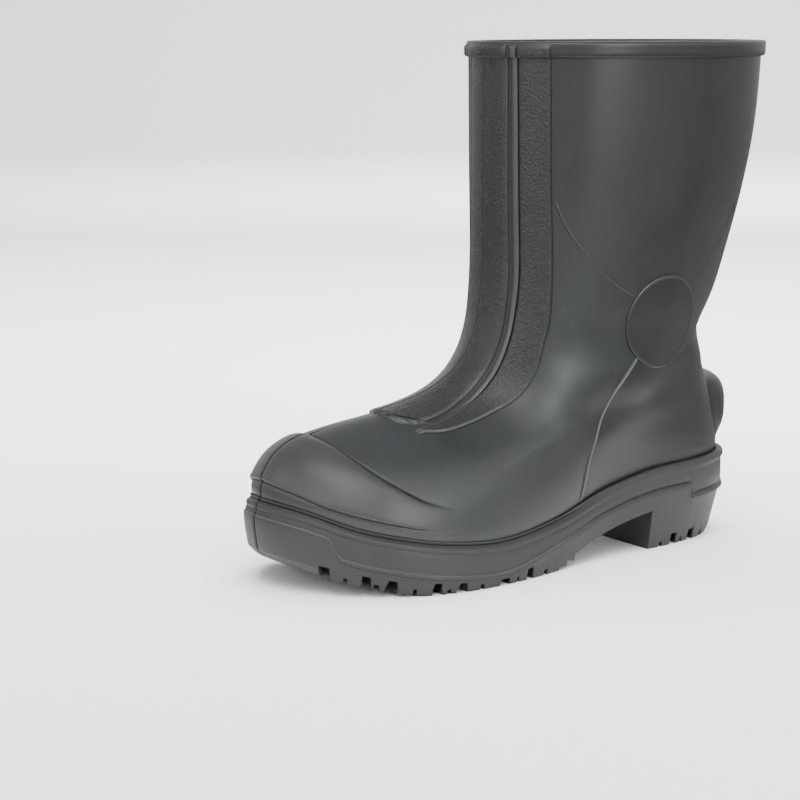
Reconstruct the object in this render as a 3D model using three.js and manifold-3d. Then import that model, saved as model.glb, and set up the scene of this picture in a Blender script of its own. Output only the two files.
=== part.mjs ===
// A moulded rubber work boot with a safety toe, for the left foot, in millimetres.
// +Z is up, the toe points towards -Y and the outer side of the foot towards +X.
// "Along" is measured from the back of the sole towards the toe.
import * as THREE from "three";
import { mergeVertices } from "three/addons/utils/BufferGeometryUtils.js";
import Module from "manifold-3d";

const wasm = await Module();
wasm.setup();

// Driving sizes
const soleLength = 312;
const ballWidth = 107;
const instepHeight = 112;
const bootHeight = 290;
const shaftDepth = 184;
const shaftWidth = 128;
const shaftCentre = 79;
const wall = 2.6;
const gap = 0.3;

// The sole: its rim's and footbed's heights, its lowest line and its tread
const ledge = 4;
const rimToe = 50;
const rimBall = 25;
const rimHeel = 48;
const bedToe = 32;
const bedBall = 15;
const bedHeel = 30;
const toeSpring = 17;
const springStart = 74;
const heelLength = 79;
const breastHeight = 23;
const archLength = 80;
const heelRound = 36;
const heelLift = 8.5;
const sideTaper = 0.16;
const heelTaper = 0.24;
const heelBead = 1.2;
const bumperLength = 23.5;
const bumperRise = 8.7;
const stepEase = 6;
const rimBandHeight = 15;
const heelBandLength = 50;
const heelBandDrop = 6.9;
const ballBandStart = 145;
const ballBandEnd = 205;
const ballBandDrop = 4.6;
const leastTread = 4;
const lugDepth = 6.5;
const lugReach = 27;
const lugDraft = 0.12;
const insoleThickness = 4;

// The raised forms of the upper's wall
const capRaise = 1.8;
const panelRaise = 1.8;
const sideBandRaise = 1.5;
const seamRaise = 0.9;
const discRaise = 1.2;
const discRadius = 26;
const discAlong = 80.5;
const discUp = 133.5;
const collarRaise = 2.4;
const collarHeight = 9;
const spurDepth = 19;
const spurHalfWidth = 20;
const spurHalfHeight = 22;
const spurUp = 73;
const spurReach = 0.5;
const spurSquareness = 0.82;

// Where a ring's control points lie between its back, 0, and its front, 1.
const stations = { toe: 0.91, ball: 0.72, mid: 0.5, waist: 0.35, heel: 0.17, corner: 0.05 };
const cornerShare = 0.7;
// The last's centre line at the stations as shares of half the ballWidth, negative towards the inner side.
const centreLine = {
  front: -0.168, toe: -0.093, ball: 0.112, mid: 0.131, waist: 0.075, heel: 0.019, corner: 0, back: 0,
};
const centreAt = (name) => (centreLine[name] * ballWidth) / 2;
// How far the rings dip at the stations, as shares of the rim's own dip at the ball.
const dipLine = { front: 0, toe: 0.43, ball: 1, mid: 0.83, waist: 0.35, heel: 0, corner: 0, back: 0 };

// Rings of the foot: places along as shares of soleLength, heights as shares of instepHeight,
// half widths as shares of half the ballWidth, then the shares of the centre line's sway and of the dip.
const footColumns = [
  "front", "frontUp", "back", "backUp", "toe", "ball", "mid", "waist", "heel", "lean", "dip",
];
const footRings = [
  [0.971, 0.23, 0.03, 0.21, 0.72, 0.93, 0.74, 0.62, 0.62, 1, 0.5],
  [0.987, 0.446, 0.018, 0.429, 0.8, 1.0, 0.81, 0.68, 0.67, 1, 1],
  [0.98, 0.527, 0.017, 0.518, 0.8, 0.99, 0.82, 0.71, 0.68, 1, 0.95],
  [0.96, 0.616, 0.02, 0.598, 0.74, 0.95, 0.81, 0.74, 0.68, 0.95, 0.85],
  [0.914, 0.696, 0.028, 0.679, 0.63, 0.87, 0.785, 0.765, 0.67, 0.9, 0.7],
  [0.833, 0.754, 0.038, 0.759, 0.47, 0.785, 0.765, 0.775, 0.665, 0.8, 0.55],
  [0.744, 0.795, 0.052, 0.839, 0.4, 0.71, 0.765, 0.785, 0.65, 0.65, 0.4],
  [0.66, 0.857, 0.066, 0.92, 0.4, 0.72, 0.81, 0.81, 0.65, 0.5, 0.25],
  [0.595, 0.964, 0.076, 1.0, 0.48, 0.78, 0.86, 0.83, 0.66, 0.3, 0.1],
];
// Rings of the shaft: heights as shares of the way from instepHeight to bootHeight, front and back
// as shares of half the shaftDepth from shaftCentre, and half widths as shares of half the shaftWidth.
const shaftColumns = ["up", "front", "back", "half"];
const shaftRings = [
  [0.08, 1.04, 0.6, 0.75],
  [0.19, 0.99, 0.69, 0.8],
  [0.34, 0.965, 0.785, 0.86],
  [0.52, 0.965, 0.89, 0.91],
  [0.75, 0.965, 0.98, 0.96],
  [1.0, 0.965, 1.01, 1.0],
];
const ovalPower = 2.1;

const named = (columns, row) => Object.fromEntries(columns.map((column, i) => [column, row[i]]));
const mix = (from, to, share) => from + (to - from) * share;
const ease = (low, high, value) => {
  const share = Math.min(1, Math.max(0, (value - low) / (high - low)));
  return share * share * (3 - 2 * share);
};

// A point from its place along, its offset to the outer side and its height.
const place = (along, side, up) => new THREE.Vector3(side, soleLength / 2 - along, up);
const alongOf = (point) => soleLength / 2 - point.y;

// The control points of one ring, from the front round the outer side to the back and home.
function controlRing({ front, frontUp, back, backUp, lean, dip, ...half }) {
  const at = (name, share, width) =>
    place(
      mix(back, front, share),
      centreAt(name) * lean + width,
      mix(backUp, frontUp, share) - dipLine[name] * dip * (rimHeel - rimBall),
    );
  const names = Object.keys(stations);
  const outer = names.map((name) => at(name, stations[name], half[name]));
  const inner = names.map((name) => at(name, stations[name], -half[name])).reverse();
  return [at("front", 1, 0), ...outer, at("back", 0, 0), ...inner];
}

function controlRings() {
  const foot = footRings.map((row) => {
    const ring = named(footColumns, row);
    const halfBall = ballWidth / 2;
    return controlRing({
      front: ring.front * soleLength,
      frontUp: ring.frontUp * instepHeight,
      back: ring.back * soleLength,
      backUp: ring.backUp * instepHeight,
      lean: ring.lean,
      dip: ring.dip,
      toe: ring.toe * halfBall,
      ball: ring.ball * halfBall,
      mid: ring.mid * halfBall,
      waist: ring.waist * halfBall,
      heel: ring.heel * halfBall,
      corner: ring.heel * halfBall * cornerShare,
    });
  });
  const shaft = shaftRings.map((row) => {
    const ring = named(shaftColumns, row);
    const height = mix(instepHeight, bootHeight, ring.up);
    const oval = (share) => (1 - Math.abs(2 * share - 1) ** ovalPower) ** (1 / ovalPower);
    const half = Object.entries(stations).map(([name, share]) => [
      name,
      (ring.half * oval(share) * shaftWidth) / 2,
    ]);
    return controlRing({
      front: shaftCentre + (ring.front * shaftDepth) / 2,
      frontUp: height,
      back: shaftCentre - (ring.back * shaftDepth) / 2,
      backUp: height,
      lean: 0,
      dip: 0,
      ...Object.fromEntries(half),
    });
  });
  return [...foot, ...shaft];
}

// B-spline coefficients of the smooth curve that passes through equally spaced points.
function coefficients(points, closed) {
  const count = points.length;
  const passes = 40;
  let made = points.map((point) => point.clone());
  for (let pass = 0; pass < passes; pass++)
    made = points.map((point, i) => {
      if (!closed && (i === 0 || i === count - 1)) return point.clone();
      const before = made[(i - 1 + count) % count];
      const after = made[(i + 1) % count];
      return point.clone().multiplyScalar(6).sub(before).sub(after).multiplyScalar(0.25);
    });
  return made;
}

// Cubic B-spline weights, and those of the slope, at a share of one span.
const weights = (u) => [
  (1 - u) ** 3 / 6,
  (3 * u ** 3 - 6 * u * u + 4) / 6,
  (-3 * u ** 3 + 3 * u * u + 3 * u + 1) / 6,
  u ** 3 / 6,
];
const slopeWeights = (u) => [
  -((1 - u) ** 2) / 2,
  (3 * u * u - 4 * u) / 2,
  (-3 * u * u + 2 * u + 1) / 2,
  (u * u) / 2,
];

// The boot's outer form: a smooth surface through all the control rings.
const around = 2 * Object.keys(stations).length + 2;
const net = (() => {
  const rings = controlRings().map((ring) => coefficients(ring, true));
  const columns = rings[0].map((_, k) => coefficients(rings.map((ring) => ring[k]), false));
  const first = columns.map((column) => column[0].clone().multiplyScalar(2).sub(column[1]));
  const last = columns.map((column) => column.at(-1).clone().multiplyScalar(2).sub(column.at(-2)));
  const inside = rings.map((_, r) => columns.map((column) => column[r]));
  return [first, ...inside, last];
})();
const topRing = net.length - 3;
const collarPitch = (bootHeight - instepHeight) * (shaftRings.at(-1)[0] - shaftRings.at(-2)[0]);

function blendNet(ringWeights, ring, aroundWeights, turn) {
  const sum = new THREE.Vector3();
  for (let i = 0; i < 4; i++)
    for (let k = 0; k < 4; k++) {
      const point = net[ring + i][(turn + k - 1 + around) % around];
      sum.addScaledVector(point, ringWeights[i] * aroundWeights[k]);
    }
  return sum;
}

// A point of the outer form, and its outward normal. ring runs from 0 to topRing, turn from 0 to around.
function form(ring, turn) {
  const r = Math.min(Math.floor(ring), topRing - 1);
  const t = Math.floor(turn) % around;
  const [u, v] = [ring - r, turn - Math.floor(turn)];
  const point = blendNet(weights(u), r, weights(v), t);
  const upwards = blendNet(slopeWeights(u), r, weights(v), t);
  const onwards = blendNet(weights(u), r, slopeWeights(v), t);
  return { point, normal: onwards.cross(upwards).normalize() };
}

// A geometry's solid for joining and cutting, and the way back.
function solidOf(geometry) {
  const bare = geometry.clone();
  bare.deleteAttribute("normal");
  bare.deleteAttribute("uv");
  const merged = mergeVertices(bare, 1e-4);
  return new wasm.Manifold(
    new wasm.Mesh({
      numProp: 3,
      vertProperties: merged.attributes.position.array,
      triVerts: new Uint32Array(merged.index.array),
    }),
  );
}

function geometryOf(solid) {
  const mesh = solid.getMesh();
  const geometry = new THREE.BufferGeometry();
  geometry.setAttribute("position", new THREE.BufferAttribute(mesh.vertProperties, 3));
  geometry.setIndex(new THREE.BufferAttribute(mesh.triVerts, 1));
  geometry.computeVertexNormals();
  return geometry;
}

// A closed solid through rings of as many points each, with its ends filled.
function throughRings(rings) {
  const count = rings[0].length;
  const points = rings.flat();
  const faces = [];
  rings.slice(1).forEach((_, r) => {
    for (let k = 0; k < count; k++) {
      const [a, b] = [r * count + k, r * count + ((k + 1) % count)];
      faces.push(a, b, b + count, a, b + count, a + count);
    }
  });
  [rings[0], rings.at(-1)].forEach((ring, end) => {
    const middle = ring.reduce((sum, point) => sum.add(point), new THREE.Vector3());
    points.push(middle.divideScalar(count));
    const start = end ? (rings.length - 1) * count : 0;
    for (let k = 0; k < count; k++) {
      const edge = [start + k, start + ((k + 1) % count)];
      faces.push(points.length - 1, ...(end ? edge : edge.reverse()));
    }
  });
  const geometry = new THREE.BufferGeometry().setFromPoints(points);
  geometry.setIndex(faces);
  return solidOf(geometry);
}

// The outer form as a solid through levels of [ring, offset], with turns faces around. spareUp and spareDown
// draw its ends out.
function formSolid({ levels, turns, spareDown = 0, spareUp = 0 }) {
  const rings = levels.map(([ring, offset]) =>
    Array.from({ length: turns }, (_, k) => {
      const { point, normal } = form(ring, (k * around) / turns);
      return point.addScaledVector(normal, offset);
    }),
  );
  const moved = (ring, up) => ring.map((point) => point.clone().setZ(point.z + up));
  if (spareDown) rings.unshift(moved(rings[0], -spareDown));
  if (spareUp) rings.push(moved(rings.at(-1), spareUp));
  return throughRings(rings);
}

// Levels from one ring to another in even steps, all at one offset.
function levelsBetween(from, to, perRing, offset = 0) {
  const steps = Math.round((to - from) * perRing);
  return Array.from({ length: steps + 1 }, (_, i) => [mix(from, to, i / steps), offset]);
}

// A shape drawn from the side, along by up, made solid right through the boot's width.
function fromSide(shape, from = -ballWidth, to = ballWidth, curveSegments = 12) {
  const geometry = new THREE.ExtrudeGeometry(shape, { depth: to - from, bevelEnabled: false, curveSegments });
  geometry.applyMatrix4(
    new THREE.Matrix4().makeBasis(
      new THREE.Vector3(0, -1, 0),
      new THREE.Vector3(0, 0, 1),
      new THREE.Vector3(-1, 0, 0),
    ),
  );
  geometry.translate(to, soleLength / 2, 0);
  return solidOf(geometry);
}

// A height that changes smoothly along the sole, through a short list of [share of soleLength, height].
function heightAlong(stops) {
  const curve = new THREE.SplineCurve(stops.map(([share, up]) => new THREE.Vector2(share * soleLength, up)));
  const samples = curve.getPoints(64);
  return (along) => {
    const i = samples.findIndex((point) => point.x >= along);
    if (i < 0) return samples.at(-1).y;
    if (i === 0) return samples[0].y;
    const [a, b] = [samples[i - 1], samples[i]];
    return mix(a.y, b.y, (along - a.x) / (b.x - a.x));
  };
}

const rimAt = heightAlong([
  [0, rimHeel * 1.055],
  [0.07, rimHeel * 1.045],
  [0.14, rimHeel * 1.03],
  [0.25, rimHeel * 0.99],
  [0.36, mix(rimBall, rimHeel, 0.68)],
  [0.48, mix(rimBall, rimHeel, 0.24)],
  [0.62, rimBall],
  [0.74, mix(rimBall, rimToe, 0.1)],
  [0.82, mix(rimBall, rimToe, 0.265)],
  [0.89, mix(rimBall, rimToe, 0.48)],
  [0.95, mix(rimBall, rimToe, 0.8)],
  [1, rimToe],
]);
const bedAt = heightAlong([
  [-0.05, bedHeel],
  [0.22, bedHeel],
  [0.45, mix(bedBall, bedHeel, 0.4)],
  [0.65, bedBall],
  [0.85, mix(bedBall, bedToe, 0.35)],
  [1.05, bedToe],
]);

// The tread's lowest line: flat on the floor, up at the toe and rounded up at the back of the heel.
function bottomAt(along) {
  const forward = Math.max(0, (along - (soleLength - springStart)) / springStart);
  const backward = Math.max(0, 1 - along / heelRound);
  return toeSpring * forward ** 1.6 + heelLift * backward ** 2;
}

// Everything under a line seen from the side, right through the boot's width.
function underLine(heightAt, steps) {
  const shape = new THREE.Shape();
  const spare = 20;
  shape.moveTo(-spare, -spare);
  shape.lineTo(soleLength + spare, -spare);
  for (let i = steps; i >= 0; i--) {
    const along = mix(-spare, soleLength + spare, i / steps);
    shape.lineTo(along, heightAt(along));
  }
  return fromSide(shape);
}

const underBed = (lift) => underLine((along) => bedAt(along) + lift, 24);

// The outer form's place at a turn where it stands at a given height above the floor.
function formAtHeight(turn, heightAt) {
  let [low, high] = [0, footRings.length];
  for (let halving = 0; halving < 16; halving++) {
    const middle = (low + high) / 2;
    const { point } = form(middle, turn);
    if (point.z < heightAt(alongOf(point))) low = middle;
    else high = middle;
  }
  return form(low, turn);
}

// A raised patch of the outer form between two edges drawn on it as [ring, turn] pairs. It reaches into the
// wall below it, and its ends fade down to the share endRaise of its raise.
function patch({ edges, raise, rows, columns, endRaise = 1 }) {
  const [start, end] = edges.map((edge) => {
    return new THREE.SplineCurve(edge.map((pair) => new THREE.Vector2(...pair)));
  });
  const layer = (offsetAt) =>
    Array.from({ length: rows + 1 }, (_, i) => {
      const share = i / rows;
      const [from, to] = [start.getPoint(share), end.getPoint(share)];
      return Array.from({ length: columns + 1 }, (_, j) => {
        const { x: ring, y: turn } = from.clone().lerp(to, j / columns);
        const { point, normal } = form(ring, (turn + around) % around);
        return point.addScaledVector(normal, offsetAt(share));
      });
    });
  const fade = (share) => mix(endRaise, 1, Math.sin(Math.PI * share) ** 0.5);
  return slab(layer((share) => raise * fade(share)), layer(() => -wall / 2));
}

// A closed solid between two layers of as many rows and columns each.
function slab(outer, inner) {
  const [rows, columns] = [outer.length, outer[0].length];
  const points = [...outer.flat(), ...inner.flat()];
  const id = (layer, i, j) => (layer * rows + i) * columns + j;
  const faces = [];
  const quad = (a, b, c, d) => faces.push(a, b, c, a, c, d);
  for (let i = 0; i < rows - 1; i++)
    for (let j = 0; j < columns - 1; j++) {
      quad(id(0, i, j), id(0, i + 1, j), id(0, i + 1, j + 1), id(0, i, j + 1));
      quad(id(1, i, j), id(1, i, j + 1), id(1, i + 1, j + 1), id(1, i + 1, j));
    }
  for (let i = 0; i < rows - 1; i++) {
    quad(id(0, i, 0), id(1, i, 0), id(1, i + 1, 0), id(0, i + 1, 0));
    quad(id(0, i + 1, columns - 1), id(1, i + 1, columns - 1), id(1, i, columns - 1), id(0, i, columns - 1));
  }
  for (let j = 0; j < columns - 1; j++) {
    quad(id(0, 0, j + 1), id(1, 0, j + 1), id(1, 0, j), id(0, 0, j));
    quad(id(0, rows - 1, j), id(1, rows - 1, j), id(1, rows - 1, j + 1), id(0, rows - 1, j + 1));
  }
  // Rows and columns may run either way round on the form.
  const middle = outer[rows >> 1];
  const across = middle[columns >> 1].clone().sub(middle[(columns >> 1) - 1]);
  const onwards = outer[(rows >> 1) + 1][columns >> 1].clone().sub(middle[columns >> 1]);
  const outwards = middle[columns >> 1].clone().sub(inner[rows >> 1][columns >> 1]);
  if (onwards.cross(across).dot(outwards) < 0) faces.reverse();
  const geometry = new THREE.BufferGeometry().setFromPoints(points);
  geometry.setIndex(faces);
  return solidOf(geometry);
}

const mirrored = (edge) => edge.map(([ring, turn]) => [ring, -turn]);

// Edges of the raised forms on the outer side, as [ring, turn] pairs from the collar down or the front back.
const shinPanelEdge = [
  [13.8, 0.39], [12.5, 0.423], [11.2, 0.47], [10.4, 0.525], [9.5, 0.55], [8.4, 0.61],
  [7.8, 0.685], [7.15, 0.815], [6.4, 0.925], [5.85, 0.91], [5.67, 0.78], [5.74, 0.5],
];
const sideBandFront = [
  [13.8, 0.545], [12.5, 0.594], [11.2, 0.652], [10.4, 0.7], [9.5, 0.72],
  [8.4, 0.795], [7.8, 0.875], [7.1, 1.0], [6.2, 1.05], [5.45, 1.0],
];
const sideBandBack = [
  [13.8, 0.985], [12.5, 1.05], [11.2, 1.152], [10.4, 1.235], [9.5, 1.325],
  [8.4, 1.405], [7.6, 1.475], [6.8, 1.47], [6.0, 1.385], [5.36, 1.09],
];
const capCrest = [[4.35, 0], [4.07, 0.63], [3.6, 1.06], [3.05, 1.42], [2.75, 1.72], [2.5, 2.0]];
const capFoot = [[1.84, 0], [1.55, 0.55], [1.39, 0.95], [1.48, 1.4], [1.54, 1.7], [1.62, 2.0]];
// Raised seams as the line that they follow.
const heelSeam = [
  [8.4, 3.21], [7.79, 2.985], [6.95, 2.988], [5.75, 3.183], [4.28, 3.459], [3, 3.516], [1.3, 3.5],
];
const shaftSeam = [[11.97, 1.134], [11.43, 1.417], [10.9, 1.79], [10.38, 2.331], [10.1, 2.82]];
const calfSeam = [[10.2, 3.95], [10.38, 4.2], [10.61, 4.58], [11.1, 4.9], [11.9, 5.3]];
const seamHalfRing = 0.045;
const seamHalfTurn = 0.025;

function raisedForms() {
  const bothSides = (edge) => [...mirrored(edge).reverse(), ...edge.slice(1)];
  const seams = [heelSeam, shaftSeam, calfSeam].flatMap((line) => {
    const steep = Math.abs(line.at(-1)[0] - line[0][0]) > 3;
    const beside = (way) =>
      line.map(([ring, turn]) => {
        return steep ? [ring, turn + way * seamHalfTurn] : [ring + way * seamHalfRing, turn];
      });
    const edges = [beside(-1), beside(1)];
    return [edges, edges.map(mirrored)].map((pair) =>
      patch({ edges: pair, raise: seamRaise, rows: 6, columns: 1, endRaise: 0.3 }),
    );
  });
  const disc = new THREE.Shape().absarc(discAlong, discUp, discRadius, 0, 2 * Math.PI);
  const spur = new THREE.SphereGeometry(1, 16, 12);
  const squarer = (value) => Math.sign(value) * Math.abs(value) ** spurSquareness;
  spur.attributes.position.array.forEach((value, i, array) => {
    array[i] = squarer(value);
  });
  spur.scale(spurHalfWidth, spurDepth, spurHalfHeight);
  spur.translate(0, soleLength / 2 - spurDepth + spurReach, spurUp);
  return [
    patch({
      edges: [bothSides(capCrest), bothSides(capFoot)],
      raise: capRaise,
      rows: 18,
      columns: 3,
      endRaise: 0.2,
    }),
    patch({ edges: [shinPanelEdge, mirrored(shinPanelEdge)], raise: panelRaise, rows: 20, columns: 4 }),
    patch({ edges: [sideBandFront, sideBandBack], raise: sideBandRaise, rows: 20, columns: 2 }),
    patch({
      edges: [mirrored(sideBandFront), mirrored(sideBandBack)],
      raise: sideBandRaise,
      rows: 20,
      columns: 2,
    }),
    ...seams,
    fromSide(disc, -shaftWidth, shaftWidth, 14).intersect(
      formSolid({ levels: levelsBetween(7, 12, 2, discRaise), turns: outerTurns }),
    ),
    solidOf(spur),
  ];
}

// How far the lowest ring is drawn down, to lie below the footbed everywhere.
const belowBed = 12;
// Faces around the outer form and the space inside it, and the ring up to which the toe has more levels.
const outerTurns = 48;
const innerTurns = 32;
const toeRings = 5;
const footLevels = (offset) => [
  ...levelsBetween(0, toeRings, 3, offset),
  ...levelsBetween(toeRings, footRings.length, 2, offset).slice(1),
];

function upper() {
  const collarRing = topRing - collarHeight / collarPitch;
  let shell = formSolid({
    levels: [
      ...footLevels(0),
      ...levelsBetween(footRings.length, footRings.length + 3, 2).slice(1),
      [topRing - 1, 0],
      [collarRing, 0],
      [collarRing, collarRaise],
      [topRing, collarRaise],
    ],
    turns: outerTurns,
    spareDown: belowBed,
  });
  raisedForms().forEach((raised) => {
    shell = shell.add(raised);
  });
  const inside = formSolid({
    levels: [
      ...levelsBetween(0, footRings.length, 2, -wall),
      ...levelsBetween(footRings.length, topRing, 1, -wall).slice(1),
    ],
    turns: innerTurns,
    spareDown: 2 * belowBed,
    spareUp: wall,
  });
  return shell.subtract(inside).subtract(underBed(gap));
}

function insole() {
  const inside = formSolid({
    levels: levelsBetween(0, toeRings, 2, -(wall + gap)),
    turns: innerTurns,
    spareDown: belowBed,
  });
  return inside.intersect(underBed(gap + insoleThickness)).subtract(underBed(gap));
}

// The sole's side from the rim down: drop below the rim as a share of rimBandHeight, and reach beyond the
// upper as a share of the ledge.
const rimBand = [
  [0, 0.75],
  [0.08, 1],
  [0.227, 0.95],
  [0.307, 0.7],
  [0.4, 0.8],
  [0.8, 0.95],
  [0.867, 1.35],
  [1, 1.35],
];
// Below the band: share of the way down to the tread's lowest line, and the edge's rounding as a share of
// the ledge.
const treadBand = [
  [0.2, 0],
  [0.8, 0],
  [1, 0.5],
];

function soleBlock() {
  const soleTurns = 56;
  const outline = Array.from({ length: soleTurns }, (_, k) => {
    const { point, normal } = formAtHeight((k * around) / soleTurns, rimAt);
    const outwards = new THREE.Vector3(normal.x, normal.y, 0).normalize();
    return { point, outwards };
  });
  const ringAt = (reachAt, heightAt) =>
    outline.map(({ point, outwards }) => {
      const along = alongOf(point);
      return point.clone().addScaledVector(outwards, reachAt(along)).setZ(heightAt(along));
    });
  const atHeel = (along) => 1 - ease(heelBandLength - stepEase, heelBandLength, along);
  const atToe = (along) => ease(soleLength - bumperLength - stepEase, soleLength - bumperLength, along);
  const band = rimBand.map(([drop, reach]) => [drop * rimBandHeight, reach * ledge]);
  const ridgeDrop = band.at(-3)[0];
  const beadDrop = band[2][0];
  const dropAt = (drop, along) => {
    const share = ease(ridgeDrop / 2, ridgeDrop, drop);
    const atBall = ease(ballBandStart, ballBandEnd, along);
    return drop + share * (heelBandDrop * atHeel(along) + ballBandDrop * atBall - bumperRise * atToe(along));
  };
  const beadAt = (drop, along) => (drop > beadDrop ? 0 : heelBead * (1 - ease(0, heelBandLength, along)));
  const bandFoot = (along) =>
    Math.max(rimAt(along) - dropAt(rimBandHeight, along), bottomAt(along) + leastTread);
  const taperAt = (along) => mix(heelTaper, sideTaper, ease(heelRound, heelLength, along));
  const rings = [
    ...band.map(([drop, reach]) =>
      ringAt(
        (along) => reach + beadAt(drop, along),
        (along) => rimAt(along) - dropAt(drop, along),
      ),
    ),
    ...treadBand.map(([share, rounding]) => {
      const heightAt = (along) => mix(bandFoot(along), bottomAt(along), share);
      const reachAt = (along) =>
        ledge * (1 - rounding) - taperAt(along) * (bandFoot(along) - heightAt(along));
      return ringAt(reachAt, heightAt);
    }),
  ];
  const lowest = rings.at(-1).map((point) => point.clone().setZ(point.z - toeSpring));
  return throughRings([...rings, lowest].reverse()).subtract(underLine(bottomAt, 48));
}

// Cross channels of the tread: place along as a share of soleLength, and width as a share of lugDepth.
const treadChannels = [
  [0.93, 0.71],
  [0.8755, 0.65],
  [0.841, 1.02],
  [0.7665, 0.78],
  [0.722, 1.05],
  [0.631, 1.08],
  [0.571, 0.77],
  [0.186, 0.85],
  [0.133, 0.92],
];

// Cross channels of the tread's middle, between its outer lugs.
const middleChannels = [0.89, 0.83, 0.76, 0.69, 0.61, 0.21];

// A channel's section seen from the side, narrower at its top.
function channelShape(along, width) {
  const [foot, top] = [width / 2, width / 2 - lugDepth * lugDraft];
  const shape = new THREE.Shape();
  shape.moveTo(along - foot, -lugDepth);
  shape.lineTo(along + foot, -lugDepth);
  shape.lineTo(along + top, bottomAt(along) + lugDepth);
  shape.lineTo(along - top, bottomAt(along) + lugDepth);
  return shape;
}

// The arch's side line, as shares of the archLength and the breastHeight.
const archLine = [[0, 1], [0.3, 0.86], [0.6, 0.55], [1, 0]];

function treadCuts() {
  const underBall = (share) => share > stations.mid;
  const middleOf = (share) =>
    underBall(share) ? centreAt("ball") * (1 - ease(stations.ball, 1, share)) : centreAt("heel");
  const middleHalf = ballWidth / 2 - lugReach;
  const outerCuts = treadChannels.flatMap(([share, width]) => {
    const shape = channelShape(share * soleLength, width * lugDepth);
    return [-1, 1].map((side) => {
      const edge = middleOf(share) + side * ballWidth;
      const end = middleOf(share) + side * (underBall(share) ? middleHalf : lugReach / 2);
      return fromSide(shape, Math.min(edge, end), Math.max(edge, end));
    });
  });
  const middleCuts = middleChannels.map((share) => {
    const half = underBall(share) ? middleHalf - lugDepth : lugReach;
    const shape = channelShape(share * soleLength, lugDepth);
    return fromSide(shape, middleOf(share) - half, middleOf(share) + half);
  });
  const [breast, ...handles] = archLine.map(([share, up]) => {
    return [heelLength + share * archLength, up * breastHeight];
  });
  const arch = new THREE.Shape();
  arch.moveTo(heelLength, -lugDepth);
  arch.lineTo(...breast);
  arch.bezierCurveTo(...handles.flat());
  arch.lineTo(heelLength + archLength + lugDepth, -lugDepth);
  return [...outerCuts, ...middleCuts, fromSide(arch)];
}

function outsole() {
  let sole = soleBlock();
  treadCuts().forEach((cut) => {
    sole = sole.subtract(cut);
  });
  const foot = formSolid({ levels: footLevels(gap), turns: outerTurns, spareDown: belowBed });
  const cup = foot.subtract(underBed(0));
  return sole.subtract(cup);
}

const material = (color, roughness) => new THREE.MeshStandardMaterial({ color, roughness, metalness: 0 });
const boot = new THREE.Group();
const addPiece = (name, solid, look) => {
  const mesh = new THREE.Mesh(geometryOf(solid), look);
  mesh.name = name;
  boot.add(mesh);
};
addPiece("upper", upper(), material(0x4a4c4d, 0.5));
addPiece("outsole", outsole(), material(0x4d4a49, 0.6));
addPiece("insole", insole(), material(0x2c2c2e, 0.95));

// The origin lies on the floor, under the middle of the boot.
const bounds = new THREE.Box3().setFromObject(boot);
const centre = bounds.getCenter(new THREE.Vector3());
boot.position.set(-centre.x, -centre.y, -bounds.min.z);

export default boot;
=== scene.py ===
"""Left rubber safety boot: one moulded upper with its lining, on a cleated outsole with an insole.

Sizes are in millimetres in the last's own frame and become metres when a mesh is made: x towards the
outer side of the foot, y from the toe towards the heel, z up, and "along" from the back of the sole.
"""

import math

import bpy
import numpy as np
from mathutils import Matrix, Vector


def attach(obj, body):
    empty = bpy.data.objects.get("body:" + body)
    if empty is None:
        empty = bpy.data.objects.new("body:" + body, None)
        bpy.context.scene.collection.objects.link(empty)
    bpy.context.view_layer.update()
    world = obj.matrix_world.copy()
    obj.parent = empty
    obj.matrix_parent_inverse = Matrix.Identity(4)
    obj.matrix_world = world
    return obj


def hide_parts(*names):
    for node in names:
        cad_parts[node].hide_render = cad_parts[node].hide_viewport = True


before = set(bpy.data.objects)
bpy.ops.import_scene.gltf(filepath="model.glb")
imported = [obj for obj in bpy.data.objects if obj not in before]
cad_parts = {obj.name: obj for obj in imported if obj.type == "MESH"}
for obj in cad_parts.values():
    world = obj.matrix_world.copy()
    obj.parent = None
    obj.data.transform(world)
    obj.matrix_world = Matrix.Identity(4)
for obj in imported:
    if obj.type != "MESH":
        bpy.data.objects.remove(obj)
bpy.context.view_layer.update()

# ---------------------------------------------------------------- sizes of the last and its sole
SOLE_LENGTH = 312.0
BALL_WIDTH = 107.0
INSTEP_HEIGHT = 112.0
BOOT_HEIGHT = 290.0
SHAFT_DEPTH = 184.0
SHAFT_WIDTH = 128.0
SHAFT_CENTRE = 79.0
WALL = 2.6
GAP = 0.3
# The boot's middle lies this far in front of the sole's middle.
MIDDLE_SHIFT = -7.556

STATIONS = {"toe": 0.91, "ball": 0.72, "mid": 0.5, "waist": 0.35, "heel": 0.17, "corner": 0.05}
CORNER_SHARE = 0.7
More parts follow.
